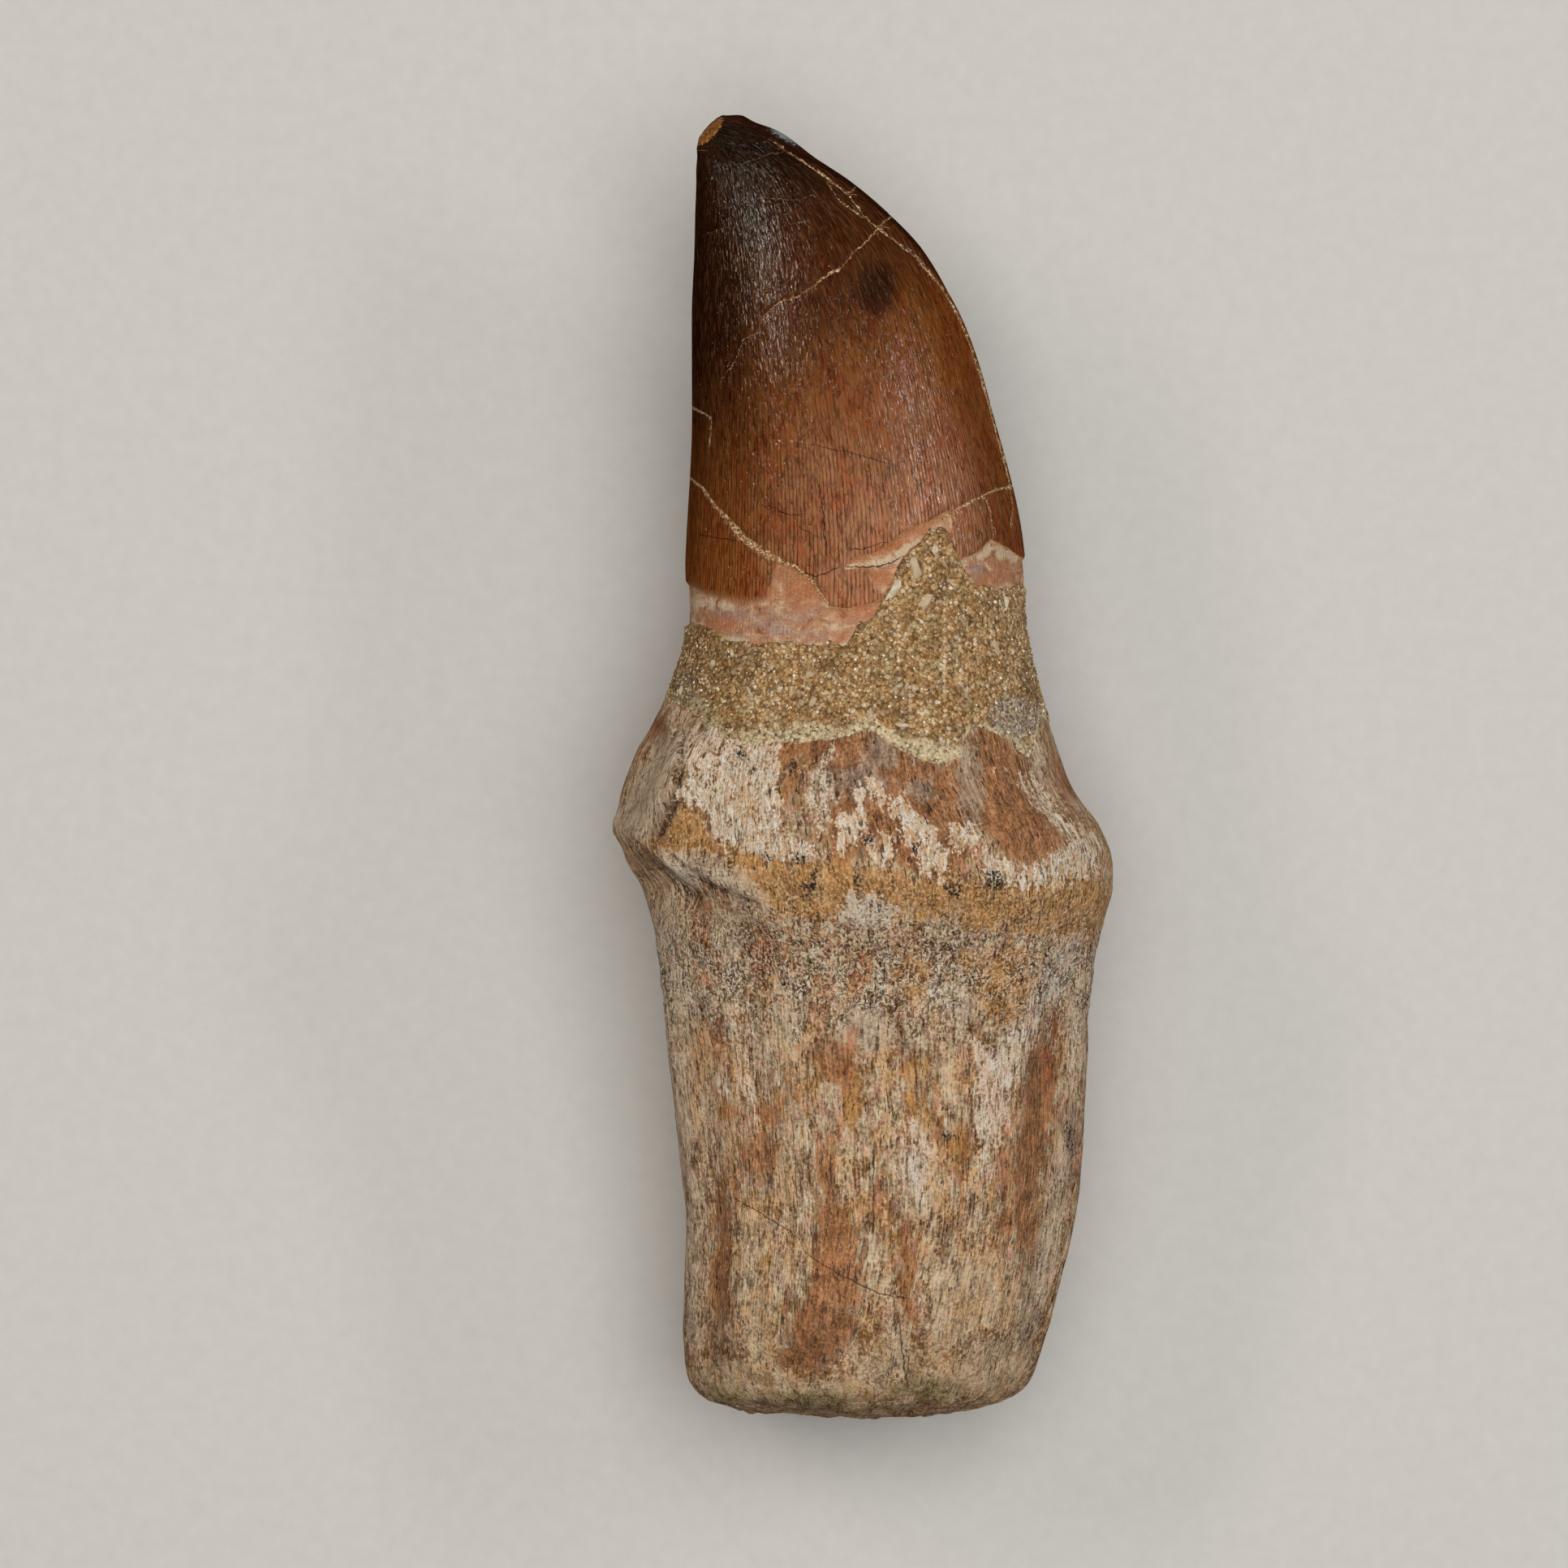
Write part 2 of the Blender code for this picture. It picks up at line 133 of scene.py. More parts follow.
# Lower edge of the enamel on the upper side, from left to right, in pixels of the photograph
ENAMEL_EDGE = (
    (820, 716), (849, 719), (866, 729), (890, 735), (912, 738), (932, 739), (946, 736), (950, 722),
    (954, 704), (958, 695), (972, 698), (986, 706), (998, 716), (1008, 730), (1017, 743),
    (1024, 748), (1040, 749), (1056, 747), (1072, 744), (1084, 738), (1087, 733), (1077, 722),
    (1073, 710), (1070, 701), (1052, 701), (1038, 703), (1045, 693), (1056, 684), (1075, 682),
    (1095, 672), (1106, 661), (1114, 655), (1133, 646), (1146, 642), (1160, 633), (1170, 628),
    (1176, 634), (1174, 650), (1172, 667), (1179, 683), (1189, 687), (1201, 683), (1213, 673),
    (1222, 664), (1232, 668), (1245, 676), (1256, 684), (1264, 688), (1300, 690),
)
PHOTO_TOP = ((1400, 100), (700, 100))  # closes the enamel's outline past the tip

# Cracks in the crown, in pixels: half width at the start, half width at the end, then the points
PALE_CRACKS = (
    (0.9, 1.1, (946, 170), (954, 174), (983, 194), (1013, 214), (1046, 239), (1067, 267), (1082, 281)),
    (1.1, 1.2, (1082, 281), (1101, 294), (1130, 317), (1142, 332), (1159, 351), (1168, 365),
     (1180, 386), (1195, 420), (1205, 450), (1220, 500), (1232, 545), (1247, 600)),
    (0.8, 0.9, (1020, 225), (1036, 248), (1063, 267)),
    (1.0, 1.2, (1082, 281), (1094, 270), (1101, 263)),
    (1.0, 0.6, (1046, 239), (1055, 229)),
    (1.0, 0.8, (1082, 281), (1067, 298), (1050, 313), (1038, 329), (1023, 336), (1004, 351),
     (983, 365), (963, 371), (950, 380)),
    (2.4, 0.8, (1034, 331), (1018, 339), (1006, 350)),
    (0.7, 0.6, (950, 380), (938, 393), (933, 410), (916, 417), (904, 446), (889, 467)),
    (1.3, 0.8, (852, 502), (864, 509), (875, 515), (875, 524), (873, 550)),
    (1.3, 2.8, (846, 587), (866, 603), (877, 620), (889, 633)),
    (2.8, 4.6, (889, 633), (902, 647), (914, 662), (924, 669)),
    (4.6, 2.0, (924, 669), (938, 678), (952, 686), (966, 693), (979, 698)),
    (1.8, 1.0, (979, 698), (998, 713), (1012, 733), (1022, 747)),
    (1.3, 1.8, (1247, 599), (1228, 603), (1210, 612), (1191, 622), (1178, 630), (1160, 642)),
    (0.9, 1.2, (1216, 612), (1221, 630), (1225, 650), (1226, 668)),
    (0.7, 0.9, (1246, 603), (1249, 625), (1247, 648)),
    (0.45, 0.45, (918, 200), (934, 194), (950, 188), (962, 187)),
    (0.45, 0.45, (938, 243), (958, 245), (985, 246), (1002, 240)),
    (0.4, 0.4, (872, 288), (884, 283), (894, 281)),
    (0.4, 0.4, (975, 276), (990, 273)),
)
DARK_CRACKS = (
    (0.6, 0.5, (1007, 549), (1053, 559), (1097, 572)),
    (0.7, 0.7, (1007, 589), (1011, 610), (1014, 634), (1015, 654), (1019, 677)),
    (0.9, 0.5, (962, 633), (972, 634), (986, 634)),
    (0.6, 0.5, (985, 649), (996, 655)),
    (0.7, 0.7, (991, 706), (1005, 710), (1019, 706), (1034, 698)),
    (0.8, 0.9, (1045, 698), (1066, 699), (1086, 697), (1097, 694), (1109, 688)),
    (0.7, 0.5, (1050, 676), (1061, 677), (1077, 672), (1090, 668)),
    (0.5, 0.5, (940, 623), (955, 626), (967, 633)),
    (0.5, 0.5, (864, 659), (885, 663), (905, 666)),
)
# Healed crack across the lower root, and slits along it, in the same form
ROOT_CRACKS = (
    (1.0, 0.5, (1076, 1428), (1077, 1470), (1075, 1522)), (0.8, 0.4, (979, 1425), (980, 1464)),
    (0.8, 0.4, (1102, 1590), (1101, 1640)), (0.7, 0.4, (1128, 1296), (1128, 1340)),
    (0.9, 0.5, (905, 1478), (914, 1483), (940, 1498), (965, 1513), (984, 1525), (990, 1543)),
    (0.6, 1.1, (990, 1543), (1010, 1557), (1040, 1573), (1060, 1583), (1085, 1595), (1112, 1599)),
    (1.1, 0.9, (1108, 1625), (1110, 1650), (1114, 1685), (1118, 1705)),
    (0.9, 0.9, (1075, 1490), (1077, 1520)),
    (0.8, 0.8, (922, 1434), (922, 1460)),
    (0.9, 0.8, (1023, 1425), (1024, 1462)),
)

# Stains of the bone in pixels: outlines (points), and spots (x, y, half width, half height, turn)
STAIN_OUTLINES = {
    "cream": (
        ((850, 1690), (900, 1668), (960, 1690), (1000, 1704), (1060, 1690), (1092, 1640), (1112, 1640),
         (1150, 1690), (1200, 1650), (1260, 1640), (1262, 1700), (1230, 1728), (1170, 1722), (1100, 1700),
         (1050, 1722), (950, 1720), (870, 1722)),
        ((896, 907), (884, 930), (850, 952), (836, 980), (868, 1000), (882, 1029), (908, 1046),
         (967, 1058), (978, 1050), (965, 1020), (952, 966), (948, 915), (925, 904)),
        ((1215, 1045), (1240, 1060), (1270, 1072), (1300, 1052), (1330, 1040), (1352, 1050),
         (1348, 1075), (1300, 1092), (1250, 1094), (1215, 1082)),
        ((908, 1500), (926, 1500), (932, 1560), (950, 1600), (952, 1690), (915, 1670), (908, 1600)),
        ((1145, 1560), (1180, 1545), (1240, 1550), (1252, 1600), (1225, 1640), (1200, 1630), (1185, 1660),
         (1150, 1665), (1140, 1600)),
    ),
    "brown": (
        ((1190, 905), (1212, 893), (1250, 910), (1266, 935), (1290, 985), (1322, 1040),
         (1300, 1052), (1272, 1068), (1240, 1055), (1215, 1030), (1208, 985), (1204, 940)),
        ((942, 903), (975, 906), (1060, 898), (1090, 915), (1180, 948), (1196, 985), (1204, 1020),
         (1212, 1050), (1190, 1064), (1150, 1072), (1090, 1062), (1040, 1056), (1020, 1040),
         (1010, 940), (985, 930), (955, 932)),
        ((1290, 1252), (1300, 1290), (1302, 1340), (1296, 1400), (1278, 1440), (1274, 1540), (1252, 1545),
         (1244, 1480), (1250, 1400), (1254, 1350), (1270, 1300)),
        ((1015, 1450), (1035, 1480), (1064, 1530), (1062, 1590), (1045, 1648), (1012, 1680), (990, 1702),
         (964, 1698), (962, 1665), (976, 1630), (990, 1600), (1000, 1560), (1006, 1500)),
    ),
    "ochre": (
        ((845, 987), (870, 1000), (884, 1030), (912, 1050), (970, 1060), (1060, 1065), (1160, 1085),
         (1230, 1088), (1330, 1080), (1370, 1090), (1368, 1140), (1330, 1160), (1150, 1135),
         (1060, 1105), (1030, 1130), (990, 1140), (955, 1118), (930, 1088), (905, 1064), (880, 1050),
         (816, 1048), (832, 1010)),
    ),
    "grey": (
        ((832, 868), (800, 930), (770, 985), (750, 1010), (775, 1035), (800, 1038), (828, 1000),
         (836, 960), (838, 900)),
        ((800, 1050), (880, 1053), (905, 1068), (930, 1094), (952, 1122), (930, 1132), (890, 1102),
         (850, 1080), (810, 1066)),
        ((806, 1120), (832, 1130), (848, 1300), (862, 1480), (866, 1650), (846, 1660), (838, 1480),
         (822, 1300)),
        ((1312, 1240), (1345, 1180), (1335, 1330), (1318, 1480), (1290, 1600), (1262, 1700), (1246, 1700),
         (1266, 1600), (1286, 1500), (1302, 1420), (1318, 1330)),
    ),
    "white": (
        ((885, 886), (868, 888), (842, 900), (832, 930), (850, 950), (880, 945), (884, 930), (896, 905)),
        ((1334, 1150), (1304, 1160), (1282, 1200), (1258, 1250), (1238, 1280), (1206, 1290), (1200, 1390),
         (1212, 1425), (1232, 1400), (1248, 1340), (1264, 1290), (1292, 1240), (1320, 1210)),
    ),
}
STAIN_SPOTS = {
    "cream": (
        (966, 1262, 22, 54, 0), (842, 1245, 20, 40, 0), (978, 1560, 18, 24, 0), (970, 1470, 8, 36, 0),
        (946, 1518, 24, 14, -30), (1044, 1450, 8, 32, 0), (870, 1380, 9, 60, 0), (1130, 1695, 60, 9, 0),
        (1080, 1580, 12, 36, 0), (1150, 1480, 10, 40, 0), (900, 1240, 9, 40, 0),
        (981, 1045, 24, 13, 0), (1051, 1022, 20, 23, 0), (1086, 1046, 15, 17, 0), (1110, 998, 13, 11, 0),
        (1130, 1020, 20, 18, -20), (1150, 1052, 20, 26, -10), (1182, 1034, 24, 16, 0), (1074, 976, 12, 8, 0),
        (1070, 1680, 30, 14, 0), (1200, 1500, 9, 40, 0), (1095, 1380, 7, 50, 0), (1165, 1310, 9, 40, 0),
    ),
    "brown": (
        (1028, 1310, 20, 30, 0), (889, 1280, 12, 32, 0), (890, 1550, 11, 76, 0), (812, 896, 14, 20, 40),
        (1217, 1670, 14, 22, -20), (936, 1425, 24, 28, 0), (1240, 1460, 7, 90, 0), (1112, 1270, 9, 40, 0),
        (974, 960, 7, 30, 0), (1012, 1032, 26, 9, 0),
        (1155, 1390, 7, 50, 0), (1322, 1410, 8, 34, 0), (1116, 1560, 8, 40, 0), (925, 1372, 34, 12, 0),
        # The spots at (822, 996) and (1310, 955) are painted shade: brown laid along the shaded groove by
        # the left facet and down the shaded right flank
        (1065, 1190, 12, 24, 0), (822, 996, 6, 44, -23), (1310, 955, 10, 26, 30), (1018, 1430, 8, 34, 0),
        (1090, 1480, 6, 50, 0), (1190, 1470, 6, 40, 0), (970, 1345, 8, 30, 0),
    ),
    "ochre": (
        (857, 1280, 10, 40, 0), (1240, 1215, 40, 50, 10), (1128, 1208, 22, 34, 0), (1130, 1332, 16, 28, 0),
        (1184, 1406, 12, 28, 0), (1174, 1682, 16, 16, -30), (1062, 1712, 9, 9, 0), (1320, 1130, 40, 30, 0),
        (914, 1330, 10, 24, 0), (1050, 1360, 12, 26, 0), (960, 1222, 16, 30, 0), (1040, 1490, 14, 12, 0),
    ),
    "grey": (
        (1070, 1130, 30, 24, -10), (902, 1172, 10, 36, 0), (1070, 1262, 34, 30, 0),
        (1266, 1620, 12, 50, -5), (1126, 1440, 18, 34, 0), (1085, 930, 20, 24, 0), (1195, 965, 12, 56, 0),
        (1016, 970, 17, 32, 0), (1062, 962, 34, 24, -10), (1185, 1245, 18, 20, 0), (820, 1160, 16, 56, 0),
        (1276, 930, 10, 34, 25), (1135, 975, 18, 14, -20),
    ),
    "red": (
        (937, 1178, 18, 24, 0), (870, 1160, 8, 40, 8), (812, 890, 8, 12, 40), (1050, 1290, 6, 20, 0),
        (1295, 1290, 7, 40, 0),
    ),
    "white": (
        (1300, 1005, 8, 56, 44), (1336, 1036, 16, 11, -25), (1066, 1122, 26, 18, 0),
        (1013, 985, 11, 34, 0), (1126, 1440, 12, 30, 0), (840, 1082, 14, 20, 35), (920, 1340, 6, 30, 0),
    ),
    "black": (
        (998, 1092, 7, 14, -10), (1057, 1083, 5, 12, 0), (1175, 1096, 10, 9, 0), (1227, 1088, 8, 12, 0),
        (985, 1058, 7, 5, 0), (943, 1057, 5, 4, 0), (1166, 1398, 5, 4, 0), (1070, 1035, 6, 6, 0),
        (976, 944, 5, 9, 0), (912, 928, 4, 6, 30), (930, 948, 4, 4, 0), (1128, 1042, 4, 6, 0),
        (966, 1212, 5, 4, 0), (1318, 1400, 5, 14, 0),
    ),
    "green": ((1135, 1712, 42, 12, 0), (1000, 1728, 60, 10, 0), (900, 1722, 20, 8, -20)),
}
STAIN_KINDS = ("cream", "brown", "ochre", "grey", "red", "white", "black", "green")
ENAMEL_STEP = 0.25  # mm from the enamel's surface down to the dentine's
TIP_SHOULDER, TIP_SHOULDER_HEIGHT = (911, 148), 0.4  # the enamel is thicker there, in mm
TIP_FACET = (873, 161, 9, 22, -45)
# Spots of the crown: dark blotch of the enamel, a pale spot at a chip by the tip that is painted as its
# glint, and the dentine's crusts and hues
CROWN_SPOTS = {
    "blotch": ((1080, 357, 28, 31, 0),),
    "chip_glint": ((966, 167, 16, 4, -30),),
    "dentine_pale": (
        (1000, 797, 60, 4, 0), (880, 784, 30, 5, -12), (1190, 692, 18, 4, 23), (1216, 679, 12, 5, 40),
        (1241, 684, 16, 7, -28), (1068, 696, 34, 3, 8), (1030, 742, 12, 6, 0), (1110, 680, 20, 3, 30),
        (870, 745, 30, 6, -5), (1176, 660, 4, 18, 0),
    ),
    "dentine_red": (
        (1088, 711, 15, 10, 0), (985, 730, 22, 18, -40), (890, 765, 20, 12, 0), (1035, 785, 9, 5, 0),
        (1241, 687, 5, 5, 0), (1223, 684, 4, 4, 0), (1214, 716, 13, 9, 0), (1058, 754, 28, 8, 8),
        (1110, 668, 40, 6, 28), (1235, 706, 12, 12, 0),
    ),
    "dentine_mauve": (
        (905, 757, 36, 8, -8), (948, 772, 26, 7, -12), (1203, 705, 8, 12, 0), (985, 762, 18, 6, 0),
    ),
}
# Pale smooth patches of the matrix along its lower edge, and grey ones
RIM_PATCHES = (
    (1003, 900, 58, 12, 3), (1145, 922, 44, 13, -18), (862, 872, 18, 10, -35), (1085, 905, 30, 6, 0),
)
GREY_PATCHES = ((1252, 885, 34, 26, 0), (845, 850, 12, 16, 0))
UNDERSIDE_SHIFT = (-2.5, -2.0, 0)  # mm from the upper side's marks, turned over, to the underside's
MARK_REACH = 3  # mm from a mark's edge to where its field ends
# Creases in the bone under the lip of the swelling, also darkened in colour as painted shade: start and end
# half width, then the points
CREASES = (
    (4.0, 8.0, (776, 1036), (800, 1060), (828, 1088), (856, 1108)),
    (4.0, 6.0, (826, 1058), (852, 1082), (884, 1100), (930, 1118)),
    (3.0, 3.0, (838, 900), (836, 945), (833, 987), (812, 1030)),
)

# Larger shell chips in the matrix, in pixels: x, y, half length, half width, degrees from +X
SHELL_CHIPS = (
    (1127, 700, 17, 6.0, 112), (1101, 727, 14, 4.5, 50), (1140, 743, 13, 5.0, 45), (1228, 800, 13, 5.5, 105),
    (1152, 676, 8, 5.0, 70), (1240, 740, 10, 5.0, 75), (878, 817, 6, 4.0, 20), (997, 831, 6, 4.5, 0),
    (951, 823, 4, 4.0, 0), (924, 853, 8, 3.0, 120), (987, 866, 5, 4.5, 0), (1002, 865, 7, 5.5, 40),
    (1113, 893, 9, 3.5, -10), (1107, 846, 6, 3.0, 10), (1190, 857, 5, 3.5, 60), (1072, 880, 6, 4.0, 80),
    (948, 903, 8, 2.0, -20), (960, 912, 6, 2.0, -10),
)

# Relief in mm. Crown and root settle under the outline, which leaves room for their relief
SETTLED = 0.06
CROWN_SWELL, DENTINE_LUMPS, CRACK_DEPTH, CRACK_GRAIN = 0.05, 0.16, 0.10, 0.05
ROOT_FIBRES, ROOT_RIDGES, ROOT_LUMPS, SPONGE_GRAIN, PIT_DEPTH = 0.12, 0.10, 0.18, 0.13, 0.30
END_LUMPS, END_HOLE_DEPTH, ROOT_CRACK_DEPTH, CREASE_DEPTH = 0.5, 0.35, 0.15, 0.55
NECK_DEPTH, NECK_FRAY = 1.0, 0.35  # depth of the tooth's groove under the matrix, and its ragged edge
RIM_WIDTH, COLLAR_INNER_INSET = 0.7, 1.6  # pale lower rim, and the matrix's inner wall
COLLAR_SETTLED, COLLAR_DIVE, COLLAR_FRAY = 0.04, 0.9, 0.55  # in its middle, past its borders, at them
SAND_CELLS, SAND_STEPS, SAND_LUMPS = 0.12, 0.06, 0.14
GRAIN_RADII = (0.07, 0.16)
SMALL_CHIP_SIZES = ((0.15, 0.4), (0.10, 0.2))  # half lengths and half widths

# How finely the surfaces are divided, and how many grains, chips and growth lines there are
CROWN_COLUMNS, CROWN_ROWS, NECK_ROWS, TIP_RINGS = 430, 208, 10, 5
ROOT_COLUMNS, ROOT_ROWS, END_RINGS = 384, 216, 30
COLLAR_COLUMNS, COLLAR_ROWS, COLLAR_INNER_ROWS = 620, 124, 4
GRAIN_COUNT, SMALL_CHIP_COUNT, GROWTH_LINES = 5200, 70, 250
GROWTH_RADIUS = 14.0  # the growth coordinates wrap the surface round a cylinder of this radius

# Lights: where each one stands, and its level side and its other side, in metres
OVERHEAD_PLACE, OVERHEAD_SIZE = (0.10, 0.05, 1.0), (0.80, 0.80)
LEFT_PLACE, LEFT_SIZE, LEFT_COLOUR = (-0.60, 0.37, 0.71), (0.36, 0.12), "#fff1df"
RIGHT_PLACE, RIGHT_SIZE = (0.74, 0.24, 0.62), (0.36, 0.10)


def linear(hex_colour):
    """Linear RGB of an sRGB hex colour."""
    parts = [int(hex_colour[i:i + 2], 16) / 255 for i in (1, 3, 5)]
    return tuple(c / 12.92 if c <= 0.04045 else ((c + 0.055) / 1.055) ** 2.4 for c in parts)


# Curves and blends

def smooth_through(knots, values, at):
    """Monotone cubic curve through the knots: Hermite pieces whose slope at a knot is the harmonic
    mean of the slopes on both sides, or 0 at a turning point."""
    knots, values = np.asarray(knots, float), np.asarray(values, float)
    step = np.diff(knots)
    slope = np.diff(values) / step
    before, after = slope[:-1], slope[1:]
    turning = before * after <= 0
    safe_before, safe_after = np.where(turning, 1.0, before), np.where(turning, 1.0, after)
    near, far = 2 * step[1:] + step[:-1], step[1:] + 2 * step[:-1]
    inner = np.where(turning, 0.0, (near + far) / (near / safe_before + far / safe_after))
    tangent = np.concatenate([slope[:1], inner, slope[-1:]])
    i = np.clip(np.searchsorted(knots, at, side="right") - 1, 0, len(step) - 1)
    u = (at - knots[i]) / step[i]
    return (
        (1 + 2 * u) * (1 - u) ** 2 * values[i]
        + u * (1 - u) ** 2 * step[i] * tangent[i]
        + u * u * (3 - 2 * u) * values[i + 1]
        + u * u * (u - 1) * step[i] * tangent[i + 1]
    )


def line_through(points, at):
    """Smooth curve through (place, value) points, level past its ends."""
    knots, values = np.array(points).T
    return smooth_through(knots, values, np.clip(at, knots[0], knots[-1]))


def round_the_section(points, angle):
    """Closed curve of y against the angle, through (degrees, y) points."""
    degrees, heights = np.array(points, float).T
    degrees = np.concatenate([degrees[-2:] - 360, degrees, degrees[:2] + 360])
    heights = np.concatenate([heights[-2:], heights, heights[:2]])
    return smooth_through(degrees, heights, np.degrees(angle) % 360)


def hump(value, centre, half_width):
    """exp(-((value - centre) / half_width)^2): a smooth hill, 1 high at its centre."""
    return np.exp(-(((value - centre) / half_width) ** 2))


def step_up(value, start, end):
    """3u^2 - 2u^3 with u = (value - start) / (end - start) kept from 0 to 1."""
    u = np.clip((value - start) / (end - start), 0, 1)
    return u * u * (3 - 2 * u)


# Noise on whole arrays of points

def cell_random(cells, seed):
    """A number from 0 to 1 for each whole-number cell, from its coordinates mixed bit by bit."""
    primes = np.array((374761393, 668265263, 974634777), np.int64)
    n = (cells.astype(np.int64) * primes).sum(-1) + seed * 83492791
    n = n & 0xFFFFFFFF
    n = ((n ^ (n >> 13)) * 1274126177) & 0xFFFFFFFF
    n = ((n ^ (n >> 16)) * 2246822519) & 0xFFFFFFFF
    return (n ^ (n >> 15)) / 0xFFFFFFFF


def smooth_noise(points, seed):
    """Value noise from -1 to 1: random numbers at whole-number corners, blended by 3t^2 - 2t^3."""
    base = np.floor(points)
    t = points - base
    t = t * t * (3 - 2 * t)
    total = 0.0
    for corner in np.ndindex(2, 2, 2):
        weight = np.prod(np.where(np.array(corner) == 1, t, 1 - t), axis=-1)
        total = total + weight * cell_random(base + corner, seed)
    return 2 * total - 1


def rough_noise(points, size, seed, octaves=4):
    """Sum of value noises, each half as wide and half as high as the one before. size in mm, one
    number or one for each axis."""
    scaled = points / np.asarray(size, float)
    layers = [smooth_noise(scaled * 2**i + 7.3 * i, seed + i) / 2**i for i in range(octaves)]
    return sum(layers) / (2 - 2.0 ** (1 - octaves))


def cell_distance(points, size, seed):
    """Distance to the nearest of one random point per cell, in cells, and that cell's random number."""
    scaled = points / np.asarray(size, float)
    base = np.floor(scaled)
    nearest = np.full(scaled.shape[:-1], 9.0)
    chosen = np.zeros(scaled.shape[:-1])
    for offset in np.ndindex(3, 3, 3):
        cell = base + np.array(offset) - 1
        jitter = np.stack([cell_random(cell, seed + k) for k in range(3)], -1)
        away = np.linalg.norm(cell + jitter - scaled, axis=-1)
        closer = away < nearest
        nearest = np.where(closer, away, nearest)
        chosen = np.where(closer, cell_random(cell, seed + 3), chosen)
    return nearest, chosen


# The tooth's surface

def section_distances():
    """Distance of each section of the outline along the middle line of the tooth."""
    table = np.array(OUTLINE)
    middle = (table[:, 0:2] + table[:, 2:4]) / 2
    return np.concatenate([[0], np.cumsum(np.linalg.norm(np.diff(middle, axis=0), axis=1))])


ALONG = section_distances()
TIP = ALONG[-1]


def signed_power(value, power):
    """The value's size to a power, with the value's sign."""
    return np.sign(value) * np.abs(value) ** power


def large_relief(angle, x, y, z):
    """Keels, shoulder ridge, lip, trough, flutes and peeled patch: sums of hills exp(-d^2) along
    their lines, and cosines round the root."""
    degrees = np.degrees(angle) % 360
    on_crown = step_up(y, 12, 18) * (1 - step_up(y, 50, 53))
    front = hump(degrees, line_through(FRONT_KEEL, y), KEEL_WIDTH_DEG)
    back = hump(degrees, BACK_KEEL_DEG, KEEL_WIDTH_DEG)
    keels = KEEL_HEIGHT * on_crown * (front + back)

    ridge = line_through(SHOULDER_RIDGE, y)
    shoulder = SHOULDER_RIDGE_HEIGHT * hump(degrees, ridge, 9)
    shoulder -= SHOULDER_FACE_DEPTH * (hump(degrees, ridge + 20, 10) + hump(degrees, ridge - 19, 11))
    shoulder *= hump(y, -1.2, 6.0)
    trough = hump(degrees, line_through(RIGHT_TROUGH, y), 7) * hump(y, -2.5, 5.0)
    shoulder -= RIGHT_TROUGH_DEPTH * trough

    line = line_through(LIP, x)
    lip = LIP_HEIGHT * (1 - step_up(x, -10, 0)) * hump(y, line + 0.4, 1.5)
    lip -= LIP_HOLLOW_DEPTH * hump(x, -16.5, 4.2) * hump(y, line - 3.0, 2.0)

    on_root = (1 - step_up(y, -19, -10)) * step_up(y, -54, -46)
    waves = sum(np.cos(count * angle + phase + twist * y / 18) for count, phase, twist in FLUTES)
    flutes = FLUTE_DEPTH * on_root * waves

    (patch_end, _), (patch_start, _) = PEELED_PATCH
    patch = hump(x, line_through(PEELED_PATCH, y), PEELED_PATCH_WIDTH)
    patch *= step_up(y, patch_end, patch_end + 5) * (1 - step_up(y, patch_start - 5, patch_start))

    under = UNDERSIDE_LUMP * hump(degrees, 222, 12) * hump(y, -1.0, 5.0)
    under -= UNDERSIDE_HOLLOW * hump(degrees, 318, 15) * hump(y, -12.0, 5.5)
    upper_side, lower_side = step_up(z, 15, 20), 1 - step_up(z, 8, 14)
    upper = shoulder + lip - PEELED_PATCH_DEPTH * patch
    return keels + flutes + upper_side * upper + lower_side * under


def envelope(angle, along, inset=0.0):
    """Points of the outer surface, (..., 3): centre + half * |cos a|^p across and
    waist + height * |sin a|^p up, with p = 2 / roundness, then moved out by the relief less inset."""
    edges = np.array(OUTLINE).T
    left = np.stack([smooth_through(ALONG, edge, along) for edge in edges[0:2]], -1)
    right = np.stack([smooth_through(ALONG, edge, along) for edge in edges[2:4]], -1)
    centre, half = (left + right) / 2, (right - left) / 2
    y_knots, *heights = np.array(PROFILE).T
    centre_y = np.clip(centre[..., 1], y_knots[0], y_knots[-1])
    top, waist, bottom = (smooth_through(y_knots, values, centre_y) for values in heights)
    crown = step_up(centre[..., 1], 5, 18)
    power = 2 / (ROOT_ROUNDNESS + (CROWN_ROUNDNESS - ROOT_ROUNDNESS) * crown)
    across = signed_power(np.cos(angle), power)
    rise = signed_power(np.sin(angle), power)
    height = np.where(rise > 0, top - waist, waist - bottom)
    points = np.empty(np.broadcast(angle, along).shape + (3,))
    points[..., :2] = centre + half * across[..., None]
    points[..., 2] = waist + height * rise
    lean = TIP_LEAN * step_up(along, TIP - TIP_LEAN_LENGTH, TIP)
    tipward = np.stack([-half[..., 1], half[..., 0]], -1)
    tipward /= np.linalg.norm(tipward, axis=-1, keepdims=True)
    points[..., :2] -= tipward * (lean * height * rise)[..., None]
    outward = points - np.concatenate([centre, waist[..., None]], -1)
    outward /= np.linalg.norm(outward, axis=-1, keepdims=True)
    raised = large_relief(angle, *np.moveaxis(points, -1, 0)) - inset
    points = points + outward * raised[..., None]
    points[..., 2] = np.maximum(points[..., 2], 0)
    return points


def along_at(angle, y):
    """Where the surface line at each angle reaches y, by halving the interval 20 times."""
    low, high = np.zeros_like(angle), np.full_like(angle, TIP)
    for _ in range(20):
        middle = (low + high) / 2
        below = envelope(angle, middle)[..., 1] < y
        low, high = np.where(below, middle, low), np.where(below, high, middle)
    return low


def rows_between(start, end, count):
    """count + 1 rows of places along the tooth, evenly from the start row to the end row."""
    return start + (end - start) * np.linspace(0, 1, count + 1)[:, None]


